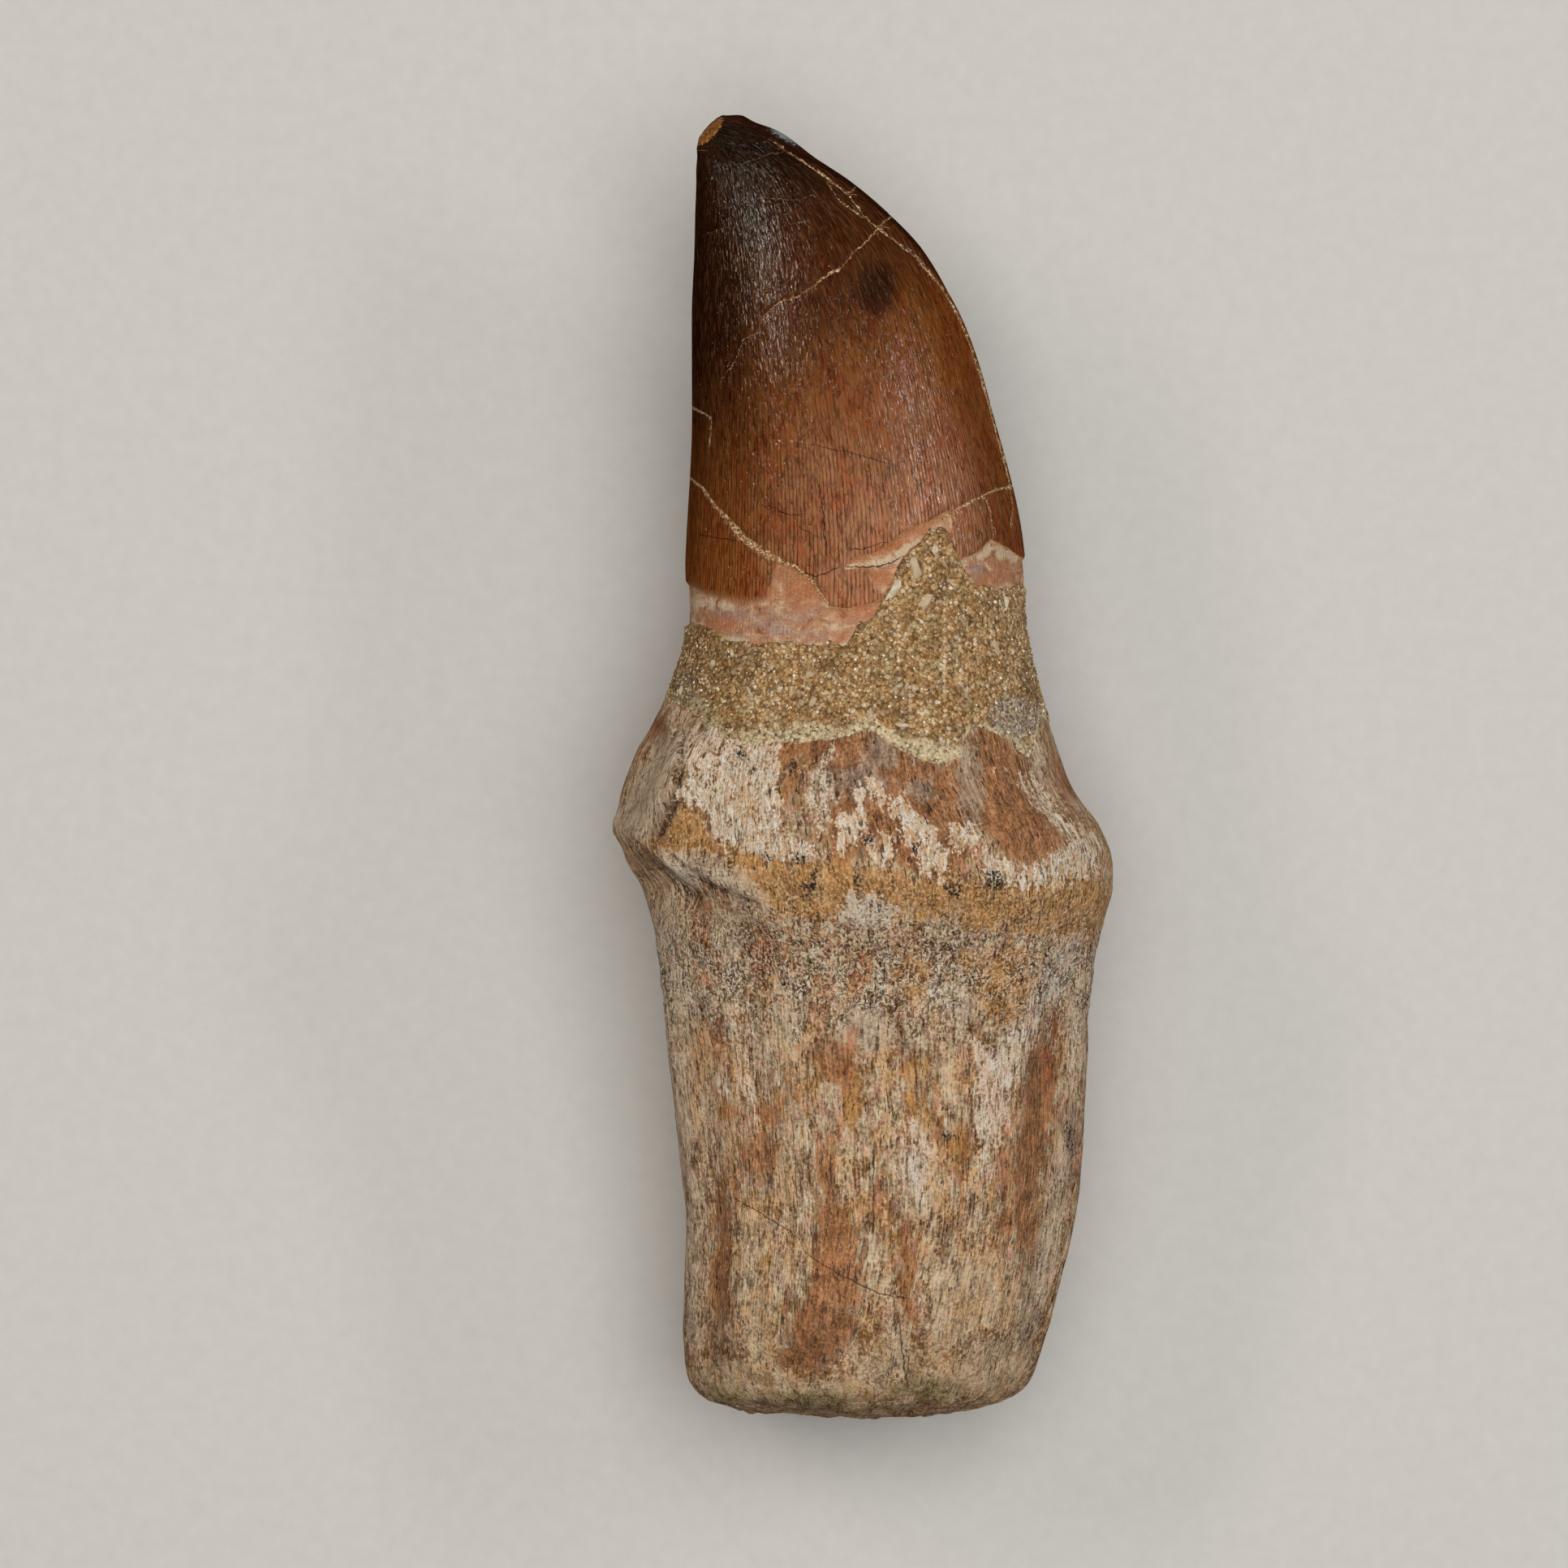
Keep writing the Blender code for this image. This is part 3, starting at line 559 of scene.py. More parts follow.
def growth_coordinates(angle, along):
    """(R cos a, along, R sin a): the surface unrolled on a cylinder, so that a pattern stretched
    along its second axis follows the growth lines and narrows towards the tip."""
    shape = np.broadcast(angle, along).shape
    around = np.broadcast_to(angle, shape)
    return np.stack([GROWTH_RADIUS * np.cos(around), np.broadcast_to(along, shape),
                     GROWTH_RADIUS * np.sin(around)], -1)


def grid_normals(points):
    """Unit normals of a closed-round grid: along-row difference crossed with round-row difference."""
    around = np.roll(points, -1, axis=1) - np.roll(points, 1, axis=1)
    normals = np.cross(np.gradient(points, axis=0), around)
    return normals / np.maximum(np.linalg.norm(normals, axis=-1, keepdims=True), 1e-12)


# Marks seen in the photograph

def photo_place(points):
    """Pixel where the photograph shows a point: (x, -y) from the camera's axis, times the scale on
    the table and H / (H - z) for perspective, from the middle of the picture."""
    scale = PHOTO_SCALE * CAMERA_HEIGHT / (CAMERA_HEIGHT - points[..., 2])
    return np.stack([PHOTO_SIZE / 2 + (points[..., 0] - CAMERA_X) * scale,
                     PHOTO_SIZE / 2 - (points[..., 1] - CAMERA_Y) * scale], -1)


def underside_place(points):
    """The marks of the underside are those of the upper side turned over and moved a little."""
    return photo_place(points * (-1, 1, 1) + UNDERSIDE_SHIFT)


def to_line(places, start, end):
    """Distance to a straight piece of line, share of the way along it, and side (+1 or -1)."""
    line = np.subtract(end, start).astype(float)
    offset = places - np.array(start, float)
    share = np.clip(offset @ line / (line @ line), 0, 1)
    away = np.linalg.norm(offset - share[..., None] * line, axis=-1)
    side = np.where(line[0] * offset[..., 1] - line[1] * offset[..., 0] > 0, 1.0, -1.0)
    return away, share, side


def crack_fields(places, cracks):
    """Signed distance to the nearest crack, and that crack's half width there, in pixels. The width
    falls to 0 at a free end and away from the crack, so nothing shows where the side flips."""
    nearest = np.full(places.shape[:-1], 1e3)
    signed, width = nearest.copy(), np.zeros_like(nearest)
    for start_width, end_width, *points in cracks:
        count = len(points) - 1
        for i in range(count):
            away, share, side = to_line(places, points[i], points[i + 1])
            closer = away < nearest
            local = start_width + (end_width - start_width) * (i + share) / count
            nearest = np.where(closer, away, nearest)
            signed = np.where(closer, away * side, signed)
            width = np.where(closer, local, width)
    return signed, width * (1 - step_up(nearest, 9, 15))


def inside_outline(places, outline):
    """Signed distance in pixels to a closed outline, positive inside, by counting crossings."""
    nearest = np.full(places.shape[:-1], 1e3)
    inside = np.zeros(nearest.shape, bool)
    for start, end in zip(outline, outline[1:] + outline[:1]):
        nearest = np.minimum(nearest, to_line(places, start, end)[0])
        if start[1] != end[1]:
            crossed = (places[..., 1] < start[1]) != (places[..., 1] < end[1])
            slope = (end[0] - start[0]) / (end[1] - start[1])
            inside ^= crossed & (places[..., 0] < start[0] + slope * (places[..., 1] - start[1]))
    return np.where(inside, nearest, -nearest)


def inside_spot(places, spot):
    """About the distance in pixels to a turned ellipse, positive inside: (1 - r) times its smaller
    half size, where r is 1 on the ellipse."""
    x, y, half_width, half_height, turn = spot
    cos, sin = math.cos(math.radians(turn)), math.sin(math.radians(turn))
    dx, dy = places[..., 0] - x, places[..., 1] - y
    r = np.hypot((dx * cos - dy * sin) / half_width, (dx * sin + dy * cos) / half_height)
    return (1 - r) * min(half_width, half_height)


def marks_field(places, outlines, spots):
    """Distance inside the nearest of several outlines and spots, in mm, up to MARK_REACH."""
    fields = [inside_outline(places, outline) for outline in outlines]
    fields += [inside_spot(places, spot) for spot in spots]
    return np.clip(np.max(fields, axis=0) / PHOTO_SCALE, -MARK_REACH, MARK_REACH)


def both_sides(points, normals, field, *marks):
    """A field of marks on both sides: from the photograph above, turned over below."""
    above = step_up(normals[..., 2], -0.42, 0.02)
    upper, lower = (field(place(points), *marks) for place in (photo_place, underside_place))
    return above * upper + (1 - above) * lower


def crack_marks(points, normals, cracks):
    """Crack fields on both sides, in mm, with no crack along the line where the sides meet."""
    above = normals[..., 2] > 0
    upper, lower = (crack_fields(place(points), cracks) for place in (photo_place, underside_place))
    signed = np.where(above, upper[0], lower[0]) / PHOTO_SCALE
    width = np.where(above, upper[1], lower[1]) / PHOTO_SCALE
    return signed, width * step_up(np.abs(normals[..., 2]), 0.0, 0.08)


# Meshes

def closed_surface(name, grid, fields):
    """Mesh of a grid of points in mm. Each row is a ring, and a fan to its middle closes each end.
    fields maps an attribute's name to one value, or one vector, for each point of the grid."""
    rows, columns = grid.shape[:2]
    index = np.arange(rows * columns).reshape(rows, columns)
    after = np.roll(index, -1, axis=1)
    quads = np.stack([index[:-1], index[1:], after[1:], after[:-1]], -1).reshape(-1, 4)
    first_fan = np.stack([index[0], after[0], np.full(columns, rows * columns)], -1)
    last_fan = np.stack([after[-1], index[-1], np.full(columns, rows * columns + 1)], -1)
    vertices = np.clip(with_hubs(grid) * MM, CAD_BOX[0] + INSIDE_BOX, CAD_BOX[1] - INSIDE_BOX)
    mesh = make_mesh(name, vertices, quads, np.concatenate([first_fan, last_fan]))
    for field, values in fields.items():
        add_attribute(mesh, field, with_hubs(values))
    return mesh


def with_hubs(values):
    """The grid's values as one list, followed by the mean of its first and of its last row."""
    flat = values.reshape((-1,) + values.shape[2:])
    return np.concatenate([flat, values[:1].mean(axis=1), values[-1:].mean(axis=1)])


def make_mesh(name, vertices, quads=np.empty((0, 4), int), triangles=np.empty((0, 3), int)):
    """Mesh from arrays of vertices in metres, four-sided faces and triangles."""
    corners = np.concatenate([quads.ravel(), triangles.ravel()]).astype(np.int32)
    sizes = np.concatenate([np.full(len(quads), 4), np.full(len(triangles), 3)])
    starts = np.concatenate([[0], np.cumsum(sizes)[:-1]]).astype(np.int32)
    mesh = bpy.data.meshes.new(name)
    mesh.vertices.add(len(vertices))
    mesh.vertices.foreach_set("co", vertices.astype(np.float32).ravel())
    mesh.loops.add(len(corners))
    mesh.loops.foreach_set("vertex_index", corners)
    mesh.polygons.add(len(sizes))
    mesh.polygons.foreach_set("loop_start", starts)
    mesh.update(calc_edges=True)
    if mesh.validate():
        raise RuntimeError(f"{name}: the mesh had faulty faces")
    mesh.shade_smooth()
    return mesh


def add_attribute(mesh, name, values):
    """Stores one number, or one vector, for each vertex."""
    kind, key = ("FLOAT_VECTOR", "vector") if values.ndim == 2 else ("FLOAT", "value")
    attribute = mesh.attributes.new(name, kind, "POINT")
    attribute.data.foreach_set(key, values.astype(np.float32).ravel())


def add_piece(mesh, material, node):
    """Links a finished mesh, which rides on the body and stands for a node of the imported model."""
    piece = bpy.data.objects.new(mesh.name, mesh)
    bpy.context.scene.collection.objects.link(piece)
    mesh.materials.append(material)
    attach(piece, "root")
    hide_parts(node)


def matrix_borders(angle):
    """Rows along the tooth where the matrix starts and ends, at each angle."""
    lower = along_at(angle, round_the_section(LOWER_BORDER, angle))
    upper = along_at(angle, round_the_section(UPPER_BORDER, angle))
    return lower, upper


def neck_inset(angle, along, lower, upper, seed):
    """How far the tooth lies under its outline: 0 up to the matrix's borders, which noise frays, and
    NECK_DEPTH inside them."""
    frayed = along + NECK_FRAY * rough_noise(growth_coordinates(angle, along), 1.6, seed)
    return NECK_DEPTH * step_up(np.minimum(frayed - lower, upper - frayed), 0.0, 0.9)


# Nodes

# Settings that all nodes of a kind have here, unless their call says otherwise. A MapRange takes
# (value, start, end, low, high) and rises smoothly from low to high, or from 0 to 1
USUAL_SETTINGS = {"MapRange": {"interpolation_type": "SMOOTHSTEP"}, "Mix": {"data_type": "RGBA"}}


def add_node(tree, kind, inputs=(), out=0, stops=(), **settings):
    """Adds a shader node and returns one of its outputs. inputs are wires, numbers or hex colours,
    in the order of the sockets or by socket. stops are a colour ramp's (place, hex colour) points."""
    node = tree.nodes.new("ShaderNode" + kind)
    for name, value in {**USUAL_SETTINGS.get(kind, {}), **settings}.items():
        setattr(node, name, value)
    for _ in stops[2:]:  # a new colour ramp has two points
        node.color_ramp.elements.new(1.0)
    for number, (place, colour) in enumerate(stops):
        node.color_ramp.elements[number].position = place
        node.color_ramp.elements[number].color = (*linear(colour), 1)
    for socket, value in (inputs if isinstance(inputs, dict) else dict(enumerate(inputs))).items():
        if isinstance(value, Wire):
            tree.links.new(value.socket, node.inputs[socket])
        else:
            node.inputs[socket].default_value = (*linear(value), 1) if isinstance(value, str) else value
    return Wire(tree, node.outputs[out])


def arithmetic(operation, swapped=False):
    """A method that works out an operation on a wire and a number, a tuple of three or a wire."""
    def method(wire, other=0.0):
        kind = "VectorMath" if isinstance(other, tuple) else "Math"
        return wire.add(kind, (other, wire) if swapped else (wire, other), operation=operation)
    return method


class Wire:
    """What a node gives out. Sums and products of wires add the nodes that work them out, a | b is
    the larger of two, wire[name] is another output of the same node, and wire.add adds a node."""

    __add__, __sub__, __mul__, __truediv__, __pow__, __or__, __abs__ = map(arithmetic, (
        "ADD", "SUBTRACT", "MULTIPLY", "DIVIDE", "POWER", "MAXIMUM", "ABSOLUTE"))
    __rsub__ = arithmetic("SUBTRACT", swapped=True)

    def __init__(self, tree, socket):
        self.tree, self.socket = tree, socket
        self.add = functools.partial(add_node, tree)

    def __getitem__(self, name):
        return Wire(self.tree, self.socket.node.outputs[name])


def new_material(name, *fields):
    """An empty material, the function that adds a node to it, and a wire for each field: the place
    is the object coordinates in mm, growth is a vector of the mesh, others are its numbers."""
    material = bpy.data.materials.new(name)
    material.use_nodes = True
    material.node_tree.nodes.clear()
    add = functools.partial(add_node, material.node_tree)
    wires = []
    for field in fields:
        if field == "place":
            wires.append(add("TexCoord", out="Object") * ((1 / MM,) * 3))
        else:
            output = "Vector" if field == "growth" else "Fac"
            wires.append(add("Attribute", out=output, attribute_name=field))
    return material, add, *wires


def finished(material, inputs):
    """Gives a material its surface, and returns it."""
    tree = material.node_tree
    surface = add_node(tree, "BsdfPrincipled", inputs)
    output = tree.nodes.new("ShaderNodeOutputMaterial")
    tree.links.new(surface.socket, output.inputs["Surface"])
    return material


def pattern_of(vector, sizes, detail, rough, distortion=0.0):
    """Random pattern from 0 to 1 with features of those sizes in mm, one for each axis."""
    return vector.add("TexNoise", {"Vector": vector / sizes, "Scale": 1.0, "Detail": detail,
                                   "Roughness": rough, "Distortion": distortion})


def coated(add, colour, *coats):
    """A colour under its coats, the first one lowest: each is a share, a colour and a blend type."""
    for share, coat, *blend in coats:
        colour = add("Mix", {0: share, 6: colour, 7: coat}, 2, blend_type=blend[0] if blend else "MIX")
    return colour


def crisp(noise, softness):
    """-0.5 or 0.5, by whether the noise is under or over its middle, with a short rise between."""
    return noise.add("MapRange", (noise, 0.5 - softness, 0.5 + softness, -0.5, 0.5))


def band_of(value, centre, half_width):
    """1 where the value is at the centre, and 0 from half_width away on."""
    return value.add("MapRange", (abs(value - centre), half_width, half_width * 0.3))


def hump_of(value, centre, half_width):
    """1 at the centre, falling smoothly to 0 at half_width away."""
    return value.add("MapRange", (abs(value - centre), half_width, 0.0))


def stain_share(field, edge, soft):
    """Share of a stain: its distance field in mm, with its edge moved by noise and soft mm wide on
    each side."""
    return field.add("MapRange", (field + edge, -soft, soft))


def crack_share(side, width, wobble):
    """1 on a crack and 0 beside it: its signed distance, moved by noise, against its half width."""
    return side.add("MapRange", (abs(side + wobble) / (width | 0.001), 0.75, 1.25, 1.0, 0.0))


def growth_lines(growth, count, wander):
    """count thin lines round the crown, 1 on a line: a power of the cosine of count times the angle,
    which noise moves to and fro."""
    parts = growth.add("SeparateXYZ", (growth,))
    angle = growth.add("Math", (parts["Z"], parts["X"]), operation="ARCTAN2")
    wave = growth.add("Math", (angle * count + wander * 3.5,), operation="COSINE")
    return (wave * 0.5 + 0.5) ** 4.0


def enamel_and_dentine(colours):
    """Fossil tooth enamel over dentine: enamel is hard apatite, grown in fine wrinkled lines and
    polished by use, so it shows a broken sheen; the dentine under it is pinker, paler and duller."""
    (material, add, place, growth, across, enamel, tip_edge, blotch, chip_glint, red, mauve, pale_patch,
     pale_side, pale_width, dark_side, dark_width) = new_material(
        "fossil_enamel_wrinkled_over_dentine", "place", "growth", "across", "enamel", "tip_wear", "blotch",
        "chip_glint", "dentine_red", "dentine_mauve", "dentine_pale", "pale_side", "pale_width", "dark_side",
        "dark_width")
    parts = add("SeparateXYZ", (place,))
    x, y = parts["X"], parts["Y"]

    # Cloudy variation, growth lines 0.3 mm apart at the neck, and wrinkles, none finer than shows
    clouds = pattern_of(place, (7, 9, 7), 3, 0.5)
    mottle = pattern_of(growth, (1.6, 4, 1.6), 4, 0.6)
    wander = pattern_of(growth, (2.0, 5.0, 2.0), 3, 0.5)
    fading = pattern_of(growth, (0.9, 3.5, 0.9), 2, 0.5)
    lines = growth_lines(growth, GROWTH_LINES, wander) * add("MapRange", (fading, 0.30, 0.55, 0.3, 1.0))
    lines = lines * add("MapRange", (y, 38, 20, 0.15, 1.0))
    wrinkles = pattern_of(growth, (0.30, 1.25, 0.30), 2, 0.6, 0.6)
    ripples = pattern_of(growth, (0.28, 0.95, 0.28), 0.6, 0.5, 0.5)
    furrows = band_of(pattern_of(growth, (0.6, 2.0, 0.6), 2, 0.5, 0.4), 0.5, 0.06)
    specks = add("MapRange", (pattern_of(place, (0.23, 0.31, 0.27), 1, 0.5), 0.72, 0.76))
    grit = pattern_of(place, (0.2, 0.2, 0.2), 3, 0.7)

    # Brown at the neck to nearly black at the tip. The dark part reaches lower on the left
    lean = x * -0.6 + y + (clouds * 16.0 - 8.0)
    body = add("ValToRGB", (add("MapRange", (lean, 16, 60), interpolation_type="LINEAR"),), stops=(
        (0.0, colours.enamel_low), (0.24, "#8f5c37"), (0.42, "#784823"), (0.57, "#583118"),
        (0.71, "#482712"), (0.83, "#28150b"), (0.94, colours.enamel_tip)))
    # The left and right sides of the crown are darker and more saturated: partly the enamel's own colour by
    # its keels, partly painted shade where the sides turn away from the light.
    body = coated(
        add, body,
        (add("MapRange", (across, -0.36, -0.82)) * 0.92,
         coated(add, "#8d5120", (add("MapRange", (y, 14, 37)), "#2e1607"))),
        (add("MapRange", (across, 0.50, 0.92)) * 0.8,
         coated(add, "#78400f", (add("MapRange", (y, 36, 47)), "#3a1c0d"))),
        (add("MapRange", (blotch, -0.7, 0.9, 0.0, 0.8)), "#2b190e"),
        (add("MapRange", (mottle, 0.40, 0.70, 0.0, 0.6)), "#b06c38", "SOFT_LIGHT"),
        (lines * 0.72, "#6b3f24", "MULTIPLY"),
        (furrows * 0.35, "#5a3018", "MULTIPLY"),
        (add("MapRange", (wrinkles, 0.54, 0.66, 0.0, 0.10)), "#c08a5c", "SCREEN"),
        (add("MapRange", (wrinkles, 0.46, 0.36, 0.0, 0.40)), "#3a2212", "MULTIPLY"),
        (specks * add("MapRange", (mottle, 0.55, 0.62, 0.0, 0.7)), "#c9b79c"))

    # Bare dentine below the enamel's edge and on the worn tip
    flesh = pattern_of(place, (1.5, 1.0, 1.5), 6, 0.65, 0.7)
    smear = pattern_of(place, (3.0, 0.7, 3.0), 5, 0.65, 0.4)
    edge = (flesh + smear) * 1.4 - 1.4
    dentine = add("ValToRGB", (flesh,), stops=(
        (0.30, "#875638"), (0.41, "#ad7852"), (0.49, "#bb8763"), (0.55, "#c99d79"), (0.64, "#dcbf9e")))
    dentine = coated(
        add, dentine,
        (add("MapRange", (smear, 0.53, 0.58, 0.0, 0.4)), "#a08070"),
        (add("MapRange", (enamel + smear * 3.0 - 1.5, -0.9, -0.1, 0.0, 0.5)), "#b2703e"),
        (stain_share(red, edge, 0.3) * 0.6, "#b46a3a"),
        (stain_share(mauve, edge, 0.3) * 0.55, "#9b8079"),
        (stain_share(pale_patch, edge, 0.2) * 0.8, "#d3bd9b"),
        (add("MapRange", (grit, 0.58, 0.66, 0.0, 0.4)), "#dcc0a0"),
        (add("MapRange", (grit, 0.42, 0.34, 0.0, 0.5)), "#6e432c"))
    softness = add("MapRange", (x, -8.5, -6.5, 0.45, 0.06))
    is_enamel = add("MapRange", ((enamel + (flesh * 0.5 - 0.25)) / softness, -1.0, 1.0))
    tip_wear = add("MapRange", (tip_edge + (grit * 0.5 - 0.25), -0.06, 0.06))
    worn = add("ValToRGB", (grit,), stops=((0.34, "#6b3510"), (0.5, "#a8601f"), (0.64, "#dba052")))

    # Cracks filled with pale matrix, and fine open cracks
    wobble = pattern_of(place, (0.6, 0.6, 0.6), 4, 0.75) * 0.6 - 0.3
    broken = add("MapRange", (pattern_of(place, (0.5, 0.5, 0.5), 2, 0.6), 0.40, 0.52, 0.3, 1.0))
    broken = broken * add("MapRange", (pale_width, 0.025, 0.085, 0.25, 0.95))
    pale = crack_share(pale_side, pale_width, wobble) * broken
    filling = add("ValToRGB", (grit,), stops=(
        (0.40, "#6b431f"), (0.48, "#a87640"), (0.54, "#c9a268"), (0.60, "#f0e0c0")))
    colour = coated(
        add, dentine, (is_enamel, body), (tip_wear, worn), (pale, filling),
        (crack_share(dark_side, dark_width, wobble) * 0.85, "#22130c"),
        # Pale bluish spot at a chip by the tip, painted as the chip's glint
        (stain_share(chip_glint, grit * 1.2 - 0.6, 0.1) * 0.8, "#a3a9b0"))

    # Gloss: enamel is smooth between its wrinkles, dentine, filling and worn tip are dull
    bare = 1.0 - is_enamel
    dull = pale | tip_wear
    gloss = add("MapRange", (mottle, 0.35, 0.7, 0.10, 0.18))
    roughness = gloss + bare * (0.45 - gloss)
    roughness = roughness + dull * (0.7 - roughness)
    relief = ripples - furrows * 0.25 - lines * 0.25
    normal = add("Bump", {"Height": relief, "Strength": 1.0, "Distance": 0.075 * MM})
    normal = add("Bump", {"Height": grit + smear * 1.2, "Strength": (dull | bare) * 0.8,
                          "Distance": 0.14 * MM, "Normal": normal})
    return finished(material, {"Base Color": colour, "Roughness": roughness, "IOR": 1.62,
                               "Specular IOR Level": 0.38, "Normal": normal})


def fossil_bone(colours):
    """Fossil bone of the root: mineral-stained, matt and porous. Crusts with ragged edges lie on it,
    fibres run along it, and slits and pores open between them, so the eye reads dry old bone."""
    material, add, place, growth, crease_and_shade, side, width, *stains = new_material(
        "fossil_bone_porous_fibrous", "place", "growth", "crease_and_shade", "healed_side", "healed_width",
        *STAIN_KINDS)
    y = add("SeparateXYZ", (place,), "Y")

    # Patches of 2 to 3 mm and plates of 1 mm. Fibres and grit of about 0.2 mm are coarser than the
    # real ones, so that they show
    patches = pattern_of(place, (2.0, 3.2, 2.0), 7, 0.62, 0.3)
    plates = pattern_of(place, (0.85, 1.3, 0.85), 5, 0.68, 0.3)
    streaks = pattern_of(growth, (0.45, 3.4, 0.45), 4, 0.62)
    fibres = pattern_of(growth, (0.16, 1.4, 0.16), 1.5, 0.6)
    grit = pattern_of(place, (0.25, 0.3, 0.25), 3, 0.7)
    warmth = pattern_of(place, (1.7, 3.4, 1.7), 4, 0.62, 0.5)
    flakes = pattern_of(place, (1.5, 2.4, 1.5), 7, 0.62, 0.5)

    # Zones along the tooth, in mm of y: the root below the swelling, its end, and the granular part
    on_root = add("MapRange", (patches * 8.0 + y, -8, -20))
    at_end = add("MapRange", (patches * 8.0 + y, -41.5, -44.0))
    granular = hump_of(patches * 14.0 + y, -9.0, 10.0)
    fibrous = (on_root * 0.2 + 0.8) * (1.0 - at_end * 0.85)
    above_root = 1.0 - on_root

    # Tone from dark brown to cream, in steps with ragged edges. Streaks and fibres are on the root
    lengthwise = crisp(streaks, 0.03) * 0.14 + crisp(fibres, 0.05) * 0.20
    grain = on_root * 0.02 + 0.20
    grain = grain + granular * (0.56 - grain)
    pattern = (crisp(patches, 0.03) * 0.12 + crisp(plates, 0.04) * 0.14 + lengthwise * fibrous
               + crisp(grit, 0.10) * grain)
    edge = (warmth * 3.5 + plates * 3.0 - 3.25 + crisp(grit, 0.10) * 0.5
            + (streaks * 3.0 - 1.5) * fibrous)
    stains = dict(zip(STAIN_KINDS, stains))
    black_field = stains.pop("black")
    shares = {kind: stain_share(field, edge, 0.2) for kind, field in stains.items()}
    crust = add("MapRange", (flakes, 0.53, 0.55)) * on_root * 0.65 * (1.0 - shares["brown"] * 0.8)
    whole = add("MapRange", (flakes, 0.40, 0.43, 0.25, 1.0))
    shares["cream"] = shares["cream"] * (whole + on_root * (1.0 - whole)) | crust
    calm = shares["brown"] | shares["grey"] | shares["ochre"] * 0.8
    shares["white"] = shares["white"] * add("MapRange", (grit + fibres, 0.90, 1.00, 0.35, 1.0))
    shares["brown"] = shares["brown"] * (1.0 - (shares["cream"] | shares["white"]) * 0.9)
    crusted = above_root * shares["cream"]
    tone = pattern * (1.0 - calm * 0.25) + 0.57 - at_end * 0.10 + hump_of(y, -26.0, 16.0) * 0.05
    # Painted shade: darker tone in the creases, in the end's holes and on the root's sides
    tone = tone + granular * 0.04 + crusted * 0.24 - shares["grey"] * shares["brown"] * 0.09 - crease_and_shade * 0.24
    for kind, shift in (("cream", 0.15), ("white", 0.24), ("brown", -0.085), ("red", -0.10),
                        ("grey", 0.05), ("ochre", 0.01)):
        tone = tone + shares[kind] * shift
    colour = add("ValToRGB", (tone,), stops=(
        (0.10, "#4a3322"), (0.28, "#755337"), (0.42, "#96724e"), (0.53, "#ad8b65"),
        (0.66, "#c6a983"), (0.80, "#d8c5a4"), (0.95, "#e8ddc6")))

    # Stains change the hue and leave the tone's pattern
    blush = pattern_of(growth, (0.7, 1.6, 0.7), 4, 0.62)
    cool = add("MapRange", (warmth + plates, 0.94, 0.80, 0.0, 0.35)) * (1.0 - granular * 0.6)
    cream = coated(add, colours.bone_cream, (add("MapRange", (warmth, 0.49, 0.54, 0.0, 0.35)), "#cf9c64"))
    colour = coated(
        add, colour,
        (add("MapRange", (warmth, 0.50, 0.55, 0.0, 0.6)), colours.bone_ochre, "COLOR"),
        (add("MapRange", (blush, 0.51, 0.56, 0.0, 0.6)), "#b07e66", "COLOR"),
        (cool, colours.bone_grey, "COLOR"),
        (shares["ochre"] * 0.7, colours.bone_ochre, "COLOR"),
        (shares["brown"] * 0.75, colours.bone_brown, "COLOR"),
        (shares["grey"] * 0.6, colours.bone_grey, "COLOR"),
        (shares["cream"] * 0.7, cream, "COLOR"),
        (shares["red"] * 0.5, "#99502c", "COLOR"),
        (shares["white"] * 0.6, "#cfc2b2", "COLOR"),
        (shares["green"] * 0.5, "#6b6440", "COLOR"),
        (shares["green"] * 0.45, "#5a4c33", "MULTIPLY"))

    # Pale lime specks on the ochre, and a bright crust with red-brown holes on the swelling's cream
    lime = add("MapRange", (grit, 0.56, 0.61)) * (0.6 - shares["brown"] * 0.5) * (1.0 - on_root * 0.7)
    flecks = crusted * add("MapRange", (grit + fibres, 1.01, 1.09, 0.0, 0.9))
    holes = crusted * add("MapRange", (grit + plates, 0.90, 0.85, 0.0, 0.7))

    # Spongy zone under the swelling: curled walls of tiny cells, dark beside pale
    cluster = pattern_of(place, (1.8, 1.8, 1.8), 3, 0.5)
    curls = pattern_of(place, (0.62, 0.72, 0.62), 2, 0.6, 1.2)
    spongy = hump_of(y, -17.0, 9.0) * add("MapRange", (cluster, 0.42, 0.58, 0.2, 1.0)) | crusted * 0.25
    dark_curl = band_of(curls, 0.46, 0.05) * spongy
    pale_curl = band_of(curls, 0.56, 0.045) * spongy

    # Pores: ticks that cluster on the swelling, and longer slits on the root
    ticks = pattern_of(growth, (0.16, 0.9, 0.16), 1, 0.5)
    gaps = pattern_of(growth, (0.17, 2.8, 0.17), 1, 0.5)
    tick = add("MapRange", (ticks, 0.65, 0.68)) * add("MapRange", (cluster, 0.44, 0.50))
    slit = add("MapRange", (gaps, 0.67, 0.70)) * on_root * add("MapRange", (cluster, 0.44, 0.54, 0.1, 1.0))
    hollow = tick | slit
    wobble = pattern_of(place, (0.8, 0.8, 0.8), 4, 0.7) * 0.5 - 0.25
    black = stain_share(black_field, (plates + curls) * 2.0 - 1.9, 0.08)
    black = black * add("MapRange", (grit + curls, 0.96, 1.08, 1.0, 0.2))
    colour = coated(
        add, colour, (lime, "#e2cda2"), (flecks, "#f4eadb"), (holes, "#8a5530"),
        (dark_curl * 0.8, "#553a25"), (pale_curl * 0.75, "#e8ddc8"),
        (hollow * (0.8 - on_root * 0.1), "#42271a"), (crack_share(side, width, wobble) * 0.75, "#3c2f24"),
        (black, colours.manganese))

